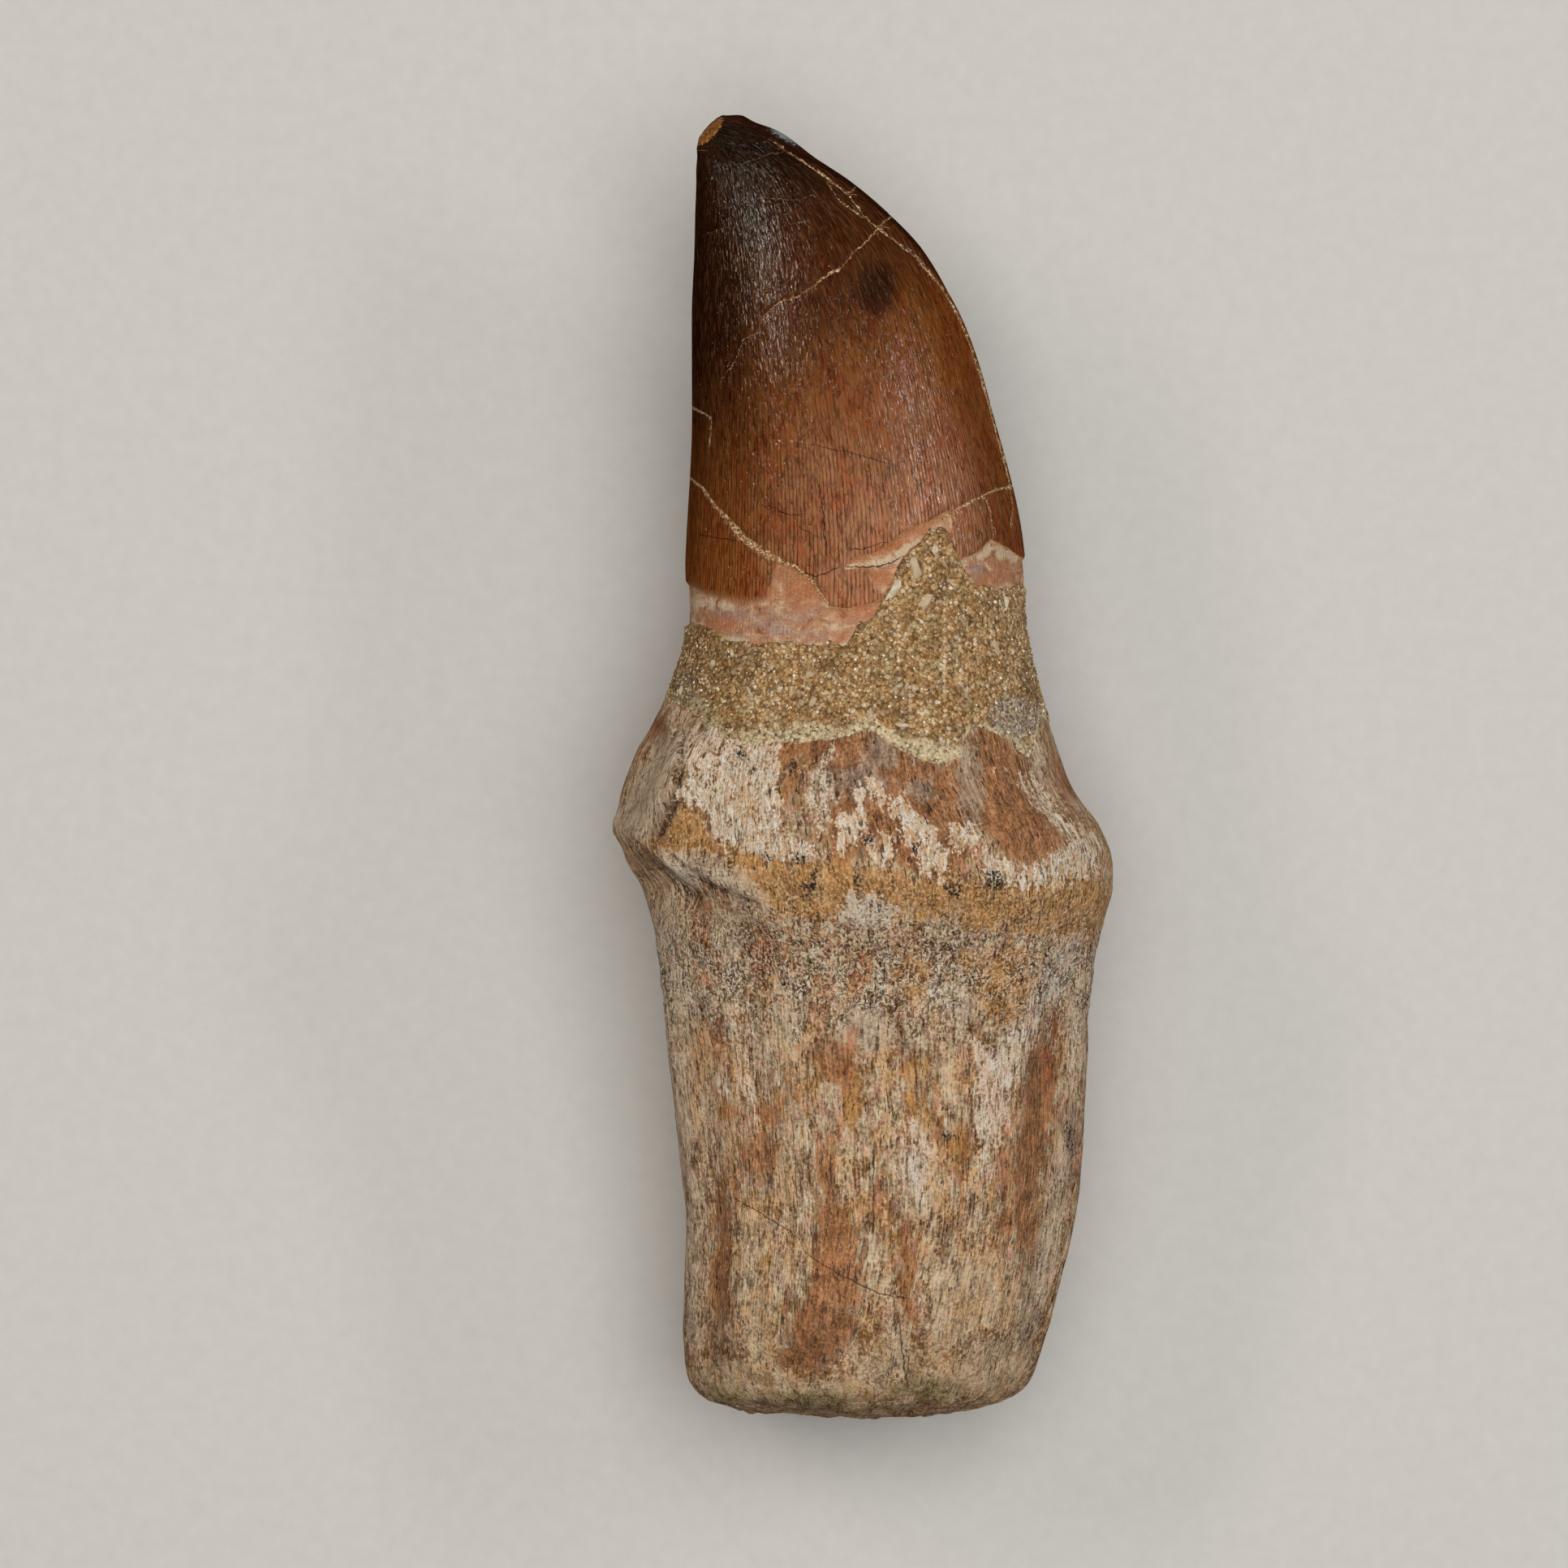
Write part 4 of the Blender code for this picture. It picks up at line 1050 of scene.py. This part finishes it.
    relief = fibres * fibrous + grit * 0.9 + crisp(plates, 0.05) * 0.12 - (hollow + dark_curl * 0.7) * 0.7
    normal = add("Bump", {"Height": relief, "Strength": 1.0, "Distance": 0.32 * MM})
    roughness = add("MapRange", (grit, 0.3, 0.7, 0.6, 0.85))
    return finished(material, {"Base Color": colour, "Roughness": roughness, "IOR": 1.5,
                               "Specular IOR Level": 0.3, "Normal": normal})


def phosphate_sand(colours):
    """Sandstone matrix: phosphate sand of about 0.3 mm, cemented by lime. Its grains are golden to
    brown, with dark gaps and a few clear ones that glint. It is palest along its lower edge."""
    material, add, place, rim, grey = new_material("phosphate_sandstone_cemented", "place", "rim", "grey")
    # Cells of 0.3 mm are the grains. The fines between them are drawn at 0.15 mm, so that they show
    grains, fines = (add("TexVoronoi", {"Vector": place / (size, size, size), "Scale": 1.0})
                     for size in (0.32, 0.15))
    lot = add("SeparateColor", (grains["Color"],), "Red")
    fine_lot = add("SeparateColor", (fines["Color"],), "Green")
    cloud = pattern_of(place, (2.6, 2.6, 2.6), 5, 0.65)
    hue = pattern_of(place, (1.3, 1.3, 1.3), 4, 0.6)
    x = add("SeparateXYZ", (place,), "X")
    body = add("ValToRGB", (lot,), stops=(
        (0.0, "#694421"), (0.28, "#966d3e"), (0.58, "#bb9561"), (0.80, "#d4b485"), (0.92, "#ecd9b4"),
        (1.0, "#fff6e4")))
    fine_body = add("ValToRGB", (fine_lot,), stops=(
        (0.0, "#7c562c"), (0.5, "#b28d5c"), (0.82, "#d3b485"), (1.0, "#f6e9cc")))
    edge = cloud * 2.5 - 1.25
    speckled = coated(add, "#7b7164", (add("MapRange", (fine_lot, 0.2, 0.9)), "#cbc3b4"))
    colour = coated(
        add, body, (0.42, fine_body),
        (add("MapRange", (hue, 0.44, 0.66, 0.0, 0.5)), "#a87640", "COLOR"),
        (add("MapRange", (hue, 0.46, 0.30, 0.0, 0.5)), "#a1946a", "COLOR"),
        (add("MapRange", (cloud, 0.56, 0.36, 0.0, 0.5)), "#8a6b46", "MULTIPLY"),
        (stain_share(rim, edge, 0.25) * 0.8, coated(add, colours.matrix_rim, (0.2, body))),
        (stain_share(grey, edge, 0.5) * 0.7, speckled),
        (add("MapRange", (x, -8, -12, 0.0, 0.45)), "#a89a70", "MULTIPLY"),
        (add("MapRange", (grains["Distance"], 0.48, 0.80)) * 0.62, "#462d13"))
    height = grains["Distance"] * -1.0 - fines["Distance"] * 0.5
    normal = add("Bump", {"Height": height, "Strength": 0.8, "Distance": 0.18 * MM})
    roughness = add("MapRange", (lot, 0.6, 1.0, 0.85, 0.4))
    return finished(material, {"Base Color": colour, "Roughness": roughness, "IOR": 1.54,
                               "Normal": normal})


def loose_grains():
    """Single sand grains that stand out of the matrix: rounded quartz and phosphate, each of one
    colour from clear cream to dark brown, a little glassy."""
    material, add, lot = new_material("sand_grains_rounded", "lot")
    body = add("ValToRGB", (lot,), stops=(
        (0.0, "#5c3b1e"), (0.25, "#8f6a3e"), (0.6, "#b48f5e"), (0.88, "#d6ba8a"), (1.0, "#fff4de")))
    return finished(material, {"Base Color": body, "Roughness": 0.35, "IOR": 1.54})


def shell_fragments():
    """Broken shell and bone chips in the matrix: chalky, cream to pinkish white, matt."""
    material, add, place, lot = new_material("shell_chips_chalky", "place", "lot")
    chalk = pattern_of(place, (0.5, 0.5, 0.5), 4, 0.7)
    body = add("ValToRGB", (lot,), stops=((0.0, "#b89878"), (0.4, "#c9b698"), (1.0, "#e0d5bf")))
    colour = coated(add, body, (add("MapRange", (chalk, 0.6, 0.4, 0.0, 0.5)), "#a68f6e"))
    normal = add("Bump", {"Height": chalk, "Strength": 0.6, "Distance": 0.08 * MM})
    return finished(material, {"Base Color": colour, "Roughness": 0.7, "IOR": 1.5, "Normal": normal})


def studio_paper():
    """Pale matt paper sweep under the object."""
    material, add, place = new_material("studio_paper_matt", "place")
    fibre = pattern_of(place, (1.5, 1.5, 1.5), 4, 0.6)
    colour = add("ValToRGB", (fibre,), stops=((0.3, "#cdcac4"), (0.7, "#d2cfc9")))
    return finished(material, {"Base Color": colour, "Roughness": 0.9})


# Surfaces of the pieces

def crown_surface():
    """Crown and neck. Rows run from under the matrix to the tip, then rings across the worn facet.
    Height over the outline: 0 on enamel and lower on dentine, with wrinkles and crack grooves."""
    angle = np.linspace(0, 2 * math.pi, CROWN_COLUMNS, endpoint=False)
    lower, upper = matrix_borders(angle)
    neck = rows_between(lower + 0.6, upper - 1.0, NECK_ROWS)[:-1]
    crown = rows_between(upper - 1.0, np.full_like(angle, TIP), CROWN_ROWS)
    along = np.concatenate([neck, crown])
    grid = envelope(angle, along, neck_inset(angle, along, lower, upper, 11))
    rim = grid[-1]
    shares = np.linspace(1, 0, TIP_RINGS + 2)[1:-1, None, None]
    facet = rim.mean(axis=0) + (rim - rim.mean(axis=0)) * shares
    grid = np.concatenate([grid, facet])
    along = np.concatenate([along, np.full((TIP_RINGS, CROWN_COLUMNS), TIP)])
    normals = grid_normals(grid)
    growth = growth_coordinates(angle, along)

    enamel = both_sides(grid, normals, inside_outline, ENAMEL_EDGE + PHOTO_TOP) / PHOTO_SCALE
    tip_wear = both_sides(grid, normals, marks_field, (), (TIP_FACET,))
    fields = {
        "growth": growth, "across": np.cos(angle) + 0 * along,
        "enamel": np.clip(enamel, -MARK_REACH, MARK_REACH),
        "tip_wear": tip_wear * step_up(along, TIP - 3, TIP - 2) - MARK_REACH * (along < TIP - 3),
    }
    for name, cracks in (("pale", PALE_CRACKS), ("dark", DARK_CRACKS)):
        fields[name + "_side"], fields[name + "_width"] = crack_marks(grid, normals, cracks)

    height = -ENAMEL_STEP * (1 - step_up(enamel, -0.2, 0.12))
    height += TIP_SHOULDER_HEIGHT * both_sides(grid, normals, shoulder_of_the_tip)
    height += CROWN_SWELL * rough_noise(growth, (2.4, 9, 2.4), 21) * step_up(enamel, -0.3, 0.3)
    height += DENTINE_LUMPS * rough_noise(grid, 1.8, 31) * (1 - step_up(enamel, -0.3, 0.1))
    width = fields["pale_width"]
    groove = 1 - step_up(np.abs(fields["pale_side"]) / np.maximum(width, 0.02), 0.5, 1.6)
    height -= CRACK_DEPTH * groove * (width > 0.01)
    height += CRACK_GRAIN * (cell_distance(grid, 0.45, 41)[0] - 0.5) * groove
    grid = grid + normals * (height - SETTLED)[..., None]
    for name, spots in CROWN_SPOTS.items():
        fields[name] = both_sides(grid, normals, marks_field, (), spots)
    return closed_surface("crown", grid, fields)


def shoulder_of_the_tip(places):
    """A hill round one pixel of the photograph, from the distance to it."""
    return hump(np.linalg.norm(places - TIP_SHOULDER, axis=-1), 0, 14)


def root_surface():
    """Root: rings over the broken end, then rows up to just under the matrix. Height over the
    outline: fibres and pits along the growth lines, grit under the swelling, low lumps all over."""
    angle = np.linspace(0, 2 * math.pi, ROOT_COLUMNS, endpoint=False)
    lower, upper = matrix_borders(angle)
    along = rows_between(np.zeros_like(angle), lower + 1.6, ROOT_ROWS)
    sides = envelope(angle, along, neck_inset(angle, along, lower, upper, 12))
    middle = sides[0].mean(axis=0)
    shares = np.linspace(0, 1, END_RINGS + 1)[1:-1, None, None]
    outward = np.array((0, -END_DOME, 0))
    end = middle + (sides[0] - middle) * shares + outward * (1 - shares**2)
    grid = np.concatenate([end, sides])
    end_along = -GROWTH_RADIUS * (1 - shares[..., 0]) * np.ones_like(angle)
    growth = growth_coordinates(angle, np.concatenate([end_along, along]))
    growth[: len(end), :, 0::2] *= shares
    normals = grid_normals(grid)
    y = grid[..., 1]

    on_root = 1 - step_up(y, -24, -11)
    on_end = 1 - step_up(y, -54.2, -52.5)
    height = ROOT_FIBRES * on_root * rough_noise(growth, (0.9, 11, 0.9), 51)
    height += ROOT_RIDGES * on_root * (1 - np.abs(rough_noise(growth, (2.6, 30, 2.6), 61, 3)) * 2.5)
    height += ROOT_LUMPS * rough_noise(grid, 5.0, 71)
    spongy = hump(y, -16.5, 6.0) + 0.35 + on_end
    height += SPONGE_GRAIN * spongy * rough_noise(grid, 0.95, 81)
    pit, lot = cell_distance(growth, (1.1, 2.6, 1.1), 91)
    height -= PIT_DEPTH * (1 - step_up(pit, 0.08, 0.42)) * (lot > 0.45)
    height += END_LUMPS * on_end * (rough_noise(grid, 3.0, 95) - 0.5)
    hole, hole_lot = cell_distance(grid, (1.5, 1.5, 1.5), 97)
    holes = on_end * (1 - step_up(hole, 0.10, 0.42)) * (hole_lot > 0.4)
    height -= END_HOLE_DEPTH * holes
    healed_side, healed_width = crack_marks(grid, normals, ROOT_CRACKS)
    height -= ROOT_CRACK_DEPTH * hump(healed_side, 0, 0.16) * (healed_width > 0.01)
    crease_side, crease_width = crack_marks(grid, normals, CREASES)
    crease_and_shade = hump(crease_side, 0, np.maximum(crease_width, 0.1)) * step_up(crease_width, 0.0, 0.2)
    height -= CREASE_DEPTH * crease_and_shade
    # Painted shade: the colour is made darker in the creases, in the holes of the broken end and on the
    # root's sides, which turn away from the light
    flank_shade = step_up(np.abs(normals[..., 0]), 0.55, 0.95) * on_root
    crease_and_shade = np.maximum(crease_and_shade, np.maximum(0.8 * holes, 0.25 * flank_shade))
    fields = {"growth": growth, "healed_side": healed_side, "healed_width": healed_width, "crease_and_shade": crease_and_shade}
    for kind in STAIN_KINDS:
        marks = STAIN_OUTLINES.get(kind, ()), STAIN_SPOTS.get(kind, ())
        fields[kind] = both_sides(grid, normals, marks_field, *marks)
    return closed_surface("root", grid + normals * (height - SETTLED)[..., None], fields)


def collar_grid():
    """Outer surface of the matrix, from below its lower border to above its upper border. Past both
    borders it dives under the tooth. Sand grains give it a relief of rounded cells."""
    angle = np.linspace(0, 2 * math.pi, COLLAR_COLUMNS, endpoint=False)
    lower, upper = matrix_borders(angle)
    along = rows_between(lower - 0.7, upper + 0.7, COLLAR_ROWS)
    growth = growth_coordinates(angle, along)
    inside = np.minimum(along - lower, upper - along) + COLLAR_FRAY * rough_noise(growth, 1.0, 13)
    inset = COLLAR_SETTLED + COLLAR_DIVE * (1 - step_up(inside, -0.8, 0.1))
    grid = envelope(angle, along, inset)
    normals = grid_normals(grid)
    grain, lot = cell_distance(grid, 0.42, 101)
    height = SAND_CELLS * (0.5 - grain) + SAND_STEPS * (lot - 0.5)
    height += SAND_LUMPS * rough_noise(grid, 2.2, 111)
    return grid + normals * height[..., None], normals, angle, along, lower, upper, inside


def collar_surface(outer, normals, angle, along, lower, upper):
    """The matrix as a closed ring: its outer grid, then an inner wall further in."""
    inner_along = rows_between(upper + 0.6, lower - 0.6, COLLAR_INNER_ROWS)
    inner = envelope(angle, inner_along, COLLAR_INNER_INSET)
    rim = np.clip(RIM_WIDTH - (along - lower), -MARK_REACH, MARK_REACH)
    rim = np.maximum(rim, both_sides(outer, normals, marks_field, (), RIM_PATCHES))
    grey = both_sides(outer, normals, marks_field, (), GREY_PATCHES)
    zeros = np.zeros_like(inner_along)
    fields = {"rim": np.concatenate([rim, zeros]), "grey": np.concatenate([grey, zeros - MARK_REACH])}
    return closed_ring("matrix_sand", np.concatenate([outer, inner]), fields)


def closed_ring(name, grid, fields):
    """Mesh of a grid in mm that is closed both round its rows and from its last row to its first."""
    rows, columns = grid.shape[:2]
    index = np.arange(rows * columns).reshape(rows, columns)
    beside, above = np.roll(index, -1, axis=1), np.roll(index, -1, axis=0)
    quads = np.stack([index, above, np.roll(above, -1, axis=1), beside], -1).reshape(-1, 4)
    mesh = make_mesh(name, grid.reshape(-1, 3) * MM, quads)
    for field, values in fields.items():
        add_attribute(mesh, field, values.ravel())
    return mesh


def icosahedron():
    """Corners of an icosahedron, from the golden ratio, and its 20 faces, facing outward."""
    g = (1 + math.sqrt(5)) / 2
    corners = np.array([(-1, g, 0), (1, g, 0), (-1, -g, 0), (1, -g, 0), (0, -1, g), (0, 1, g),
                        (0, -1, -g), (0, 1, -g), (g, 0, -1), (g, 0, 1), (-g, 0, -1), (-g, 0, 1)])
    faces = np.array([(0, 11, 5), (0, 5, 1), (0, 1, 7), (0, 7, 10), (0, 10, 11), (1, 5, 9), (5, 11, 4),
                      (11, 10, 2), (10, 7, 6), (7, 1, 8), (3, 9, 4), (3, 4, 2), (3, 2, 6), (3, 6, 8),
                      (3, 8, 9), (4, 9, 5), (2, 4, 11), (6, 2, 10), (8, 6, 7), (9, 8, 1)])
    return corners / np.linalg.norm(corners[0]), faces


def fragments(name, centres, normals, turns, sizes, jitter, seed):
    """Many small solids in one mesh: an icosahedron scaled to (length, width, thickness), turned
    about the surface normal, with every corner moved in or out at random."""
    rng = np.random.default_rng(seed)
    corners, faces = icosahedron()
    forward = np.cross(normals, (0.0, 0.0, 1.0)) + 1e-6
    forward /= np.linalg.norm(forward, axis=-1, keepdims=True)
    aside = np.cross(normals, forward)
    cos, sin = np.cos(turns)[:, None], np.sin(turns)[:, None]
    axes = np.stack([cos * forward + sin * aside, cos * aside - sin * forward, normals], 1)
    shape = corners * (1 + jitter * rng.uniform(-1, 1, (len(centres), len(corners), 1)))
    vertices = centres[:, None] + np.einsum("nij,njk->nik", shape * sizes[:, None], axes)
    offsets = np.arange(len(centres))[:, None, None] * len(corners)
    triangles = (faces + offsets).reshape(-1, 3)
    mesh = make_mesh(name, vertices.reshape(-1, 3) * MM, triangles=triangles)
    add_attribute(mesh, "lot", np.repeat(rng.uniform(0, 1, len(centres)), len(corners)))
    return mesh


def sand_grains(outer, normals, inside):
    """Grains of 0.1 to 0.4 mm, set at random into the matrix."""
    rng = np.random.default_rng(5)
    flat = np.flatnonzero(inside.ravel() > -0.2)
    chosen = rng.choice(flat, GRAIN_COUNT, replace=False)
    radius = rng.uniform(*GRAIN_RADII, GRAIN_COUNT)
    sizes = radius[:, None] * rng.uniform(0.75, 1.25, (GRAIN_COUNT, 3))
    points, directions = outer.reshape(-1, 3)[chosen], normals.reshape(-1, 3)[chosen]
    centres = points + directions * radius[:, None] * -0.3
    turns = rng.uniform(0, 2 * math.pi, GRAIN_COUNT)
    return fragments("sand_grains", centres, directions, turns, sizes, 0.18, 6)


def shell_chips(outer, normals, inside):
    """The chips that the photograph shows, and small ones at random over the rest."""
    rng = np.random.default_rng(8)
    points, directions = outer.reshape(-1, 3), normals.reshape(-1, 3)
    above = np.flatnonzero(directions[:, 2] > 0.1)
    places = photo_place(points[above])
    table = np.array(SHELL_CHIPS, float)
    near = [above[np.argmin(np.linalg.norm(places - spot[:2], axis=1))] for spot in table]
    spare = rng.choice(np.flatnonzero(inside.ravel() > 0.4), SMALL_CHIP_COUNT, replace=False)
    chosen = np.concatenate([near, spare])
    small = [rng.uniform(*limits, SMALL_CHIP_COUNT) for limits in SMALL_CHIP_SIZES]
    across = np.concatenate([table[:, 2:4] / PHOTO_SCALE, np.stack(small, -1)])
    sizes = np.concatenate([across, 0.14 + 0.1 * across[:, 1:]], -1)
    turns = np.radians(np.concatenate([table[:, 4], rng.uniform(0, 360, SMALL_CHIP_COUNT)]))
    # A turn is measured from +X as seen from above, and the piece's own first axis differs from +X
    forward = np.cross(directions[chosen], (0.0, 0.0, 1.0))
    turns -= np.arctan2(forward[:, 1], forward[:, 0])
    chips = fragments("shell_chips", points[chosen], directions[chosen], turns, sizes, 0.4, 9)
    chips.shade_flat()
    return chips


# Settings

def colour_property(name, what, hex_colour):
    """Setting for the colour of a finish."""
    return bpy.props.StringProperty(name=name, description="sRGB hex colour of " + what, default=hex_colour)


class FossilColours(bpy.types.PropertyGroup):
    enamel_tip: colour_property("Enamel at the tip", "the enamel near the tip", "#1f140d")
    enamel_low: colour_property("Enamel at the neck", "the enamel near the neck", "#b27e5b")
    bone_cream: colour_property("Cream bone", "the palest bone", "#cfb28e")
    bone_brown: colour_property("Brown bone", "the brown stains", "#8b5c3a")
    bone_ochre: colour_property("Ochre bone", "the ochre stains", "#ad7a42")
    bone_grey: colour_property("Grey bone", "the grey stains", "#968675")
    manganese: colour_property("Manganese spots", "the black spots", "#2b2a26")
    matrix_rim: colour_property("Matrix rim", "the matrix's pale lower rim", "#e2d2ab")


def power_property(name, description, watts):
    """Setting for the power of a light."""
    return bpy.props.FloatProperty(name=name, description=description, default=watts, min=0, unit="POWER")


class FossilSizes(bpy.types.PropertyGroup):
    overhead_light_power: power_property("Overhead light", "Power of the large soft light above", 7.9)
    left_light_power: power_property("Left light", "Power of the strip light on the left", 1.35)
    right_light_power: power_property("Right light", "Power of the strip light on the right", 1.1)
    surround_strength: bpy.props.FloatProperty(
        name="Surround", description="Strength of the even light from all round", default=0.15, min=0,
        subtype="FACTOR")
    floor_size: bpy.props.FloatProperty(
        name="Floor", description="Side of the floor", default=3.0, min=0.3, unit="LENGTH")


# Operators

class FOSSIL_OT_crown(bpy.types.Operator):
    """Crown with its enamel, bare dentine, cracks and worn tip"""

    bl_idname = "fossil.crown"
    bl_label = "Build the crown"

    def execute(self, context):
        add_piece(crown_surface(), enamel_and_dentine(context.scene.fossil_colours), "tooth")
        return {"FINISHED"}


class FOSSIL_OT_root(bpy.types.Operator):
    """Swollen porous root with its stains and its broken end"""

    bl_idname = "fossil.root"
    bl_label = "Build the root"

    def execute(self, context):
        add_piece(root_surface(), fossil_bone(context.scene.fossil_colours), "tooth")
        return {"FINISHED"}


class FOSSIL_OT_matrix(bpy.types.Operator):
    """Sandy matrix round the neck, with its loose grains and shell chips"""

    bl_idname = "fossil.matrix"
    bl_label = "Build the matrix"

    def execute(self, context):
        outer, normals, angle, along, lower, upper, inside = collar_grid()
        for mesh, material in (
            (collar_surface(outer, normals, angle, along, lower, upper),
             phosphate_sand(context.scene.fossil_colours)),
            (sand_grains(outer, normals, inside), loose_grains()),
            (shell_chips(outer, normals, inside), shell_fragments()),
        ):
            add_piece(mesh, material, "matrix_collar")
        return {"FINISHED"}


class FOSSIL_OT_stage(bpy.types.Operator):
    """Pale floor, soft studio lights and the camera straight above"""

    bl_idname = "fossil.stage"
    bl_label = "Set the stage"

    def execute(self, context):
        sizes = context.scene.fossil_sizes
        half = sizes.floor_size / 2
        corners = np.array([(-half, -half, 0), (half, -half, 0), (half, half, 0), (-half, half, 0)])
        floor = bpy.data.objects.new("floor", make_mesh("floor", corners, np.array([(0, 1, 2, 3)])))
        floor.data.materials.append(studio_paper())
        context.scene.collection.objects.link(floor)
        overhead = add_light("overhead", OVERHEAD_PLACE, OVERHEAD_SIZE, sizes.overhead_light_power)
        # The photograph has no glare from above or below in the enamel
        overhead.visible_glossy = floor.visible_glossy = False
        add_light("left_strip", LEFT_PLACE, LEFT_SIZE, sizes.left_light_power, LEFT_COLOUR)
        add_light("right_strip", RIGHT_PLACE, RIGHT_SIZE, sizes.right_light_power)
        world = bpy.data.worlds.new("studio")
        world.use_nodes = True
        background = world.node_tree.nodes["Background"]
        background.inputs["Color"].default_value = (1, 1, 1, 1)
        background.inputs["Strength"].default_value = sizes.surround_strength
        world.cycles_visibility.glossy = False
        context.scene.world = world
        context.scene.view_settings.view_transform = "Standard"
        add_camera(context.scene)
        return {"FINISHED"}


def add_light(name, place, size, power, colour="#ffffff"):
    """Soft light at that place, facing the tooth. size is its level side and its other side."""
    data = bpy.data.lights.new(name, "AREA")
    data.shape = "RECTANGLE"
    data.size, data.size_y = size
    data.energy = power
    data.color = linear(colour)
    light = bpy.data.objects.new(name, data)
    light.location = place
    light.rotation_euler = (-light.location).to_track_quat("-Z", "Y").to_euler()
    bpy.context.scene.collection.objects.link(light)
    return light


def add_camera(scene):
    """Camera straight above: the picture's width over the height gives the lens."""
    data = bpy.data.cameras.new("camera")
    data.sensor_width = SENSOR_WIDTH
    data.lens = SENSOR_WIDTH * CAMERA_HEIGHT * PHOTO_SCALE / PHOTO_SIZE
    camera = bpy.data.objects.new("camera", data)
    camera.location = (CAMERA_X * MM, CAMERA_Y * MM, CAMERA_HEIGHT * MM)
    scene.collection.objects.link(camera)
    scene.camera = camera


class FOSSIL_PT_panel(bpy.types.Panel):
    bl_label = "Fossil Tooth"
    bl_idname = "FOSSIL_PT_panel"
    bl_space_type = "VIEW_3D"
    bl_region_type = "UI"
    bl_category = "Fossil"

    def draw(self, context):
        for group in (context.scene.fossil_colours, context.scene.fossil_sizes):
            for name in group.bl_rna.properties.keys():
                if name not in {"rna_type", "name"}:
                    self.layout.prop(group, name)
        for operator in OPERATORS:
            self.layout.operator(operator.bl_idname)


OPERATORS = (FOSSIL_OT_crown, FOSSIL_OT_root, FOSSIL_OT_matrix, FOSSIL_OT_stage)
CLASSES = (FossilColours, FossilSizes, *OPERATORS, FOSSIL_PT_panel)


def register():
    for cls in CLASSES:
        bpy.utils.register_class(cls)
    bpy.types.Scene.fossil_colours = bpy.props.PointerProperty(type=FossilColours)
    bpy.types.Scene.fossil_sizes = bpy.props.PointerProperty(type=FossilSizes)


def unregister():
    del bpy.types.Scene.fossil_sizes
    del bpy.types.Scene.fossil_colours
    for cls in reversed(CLASSES):
        bpy.utils.unregister_class(cls)


def main():
    """Builds the pieces and the stage."""
    register()
    bpy.ops.fossil.crown()
    bpy.ops.fossil.root()
    bpy.ops.fossil.matrix()
    bpy.ops.fossil.stage()


if __name__ == "__main__":
    main()
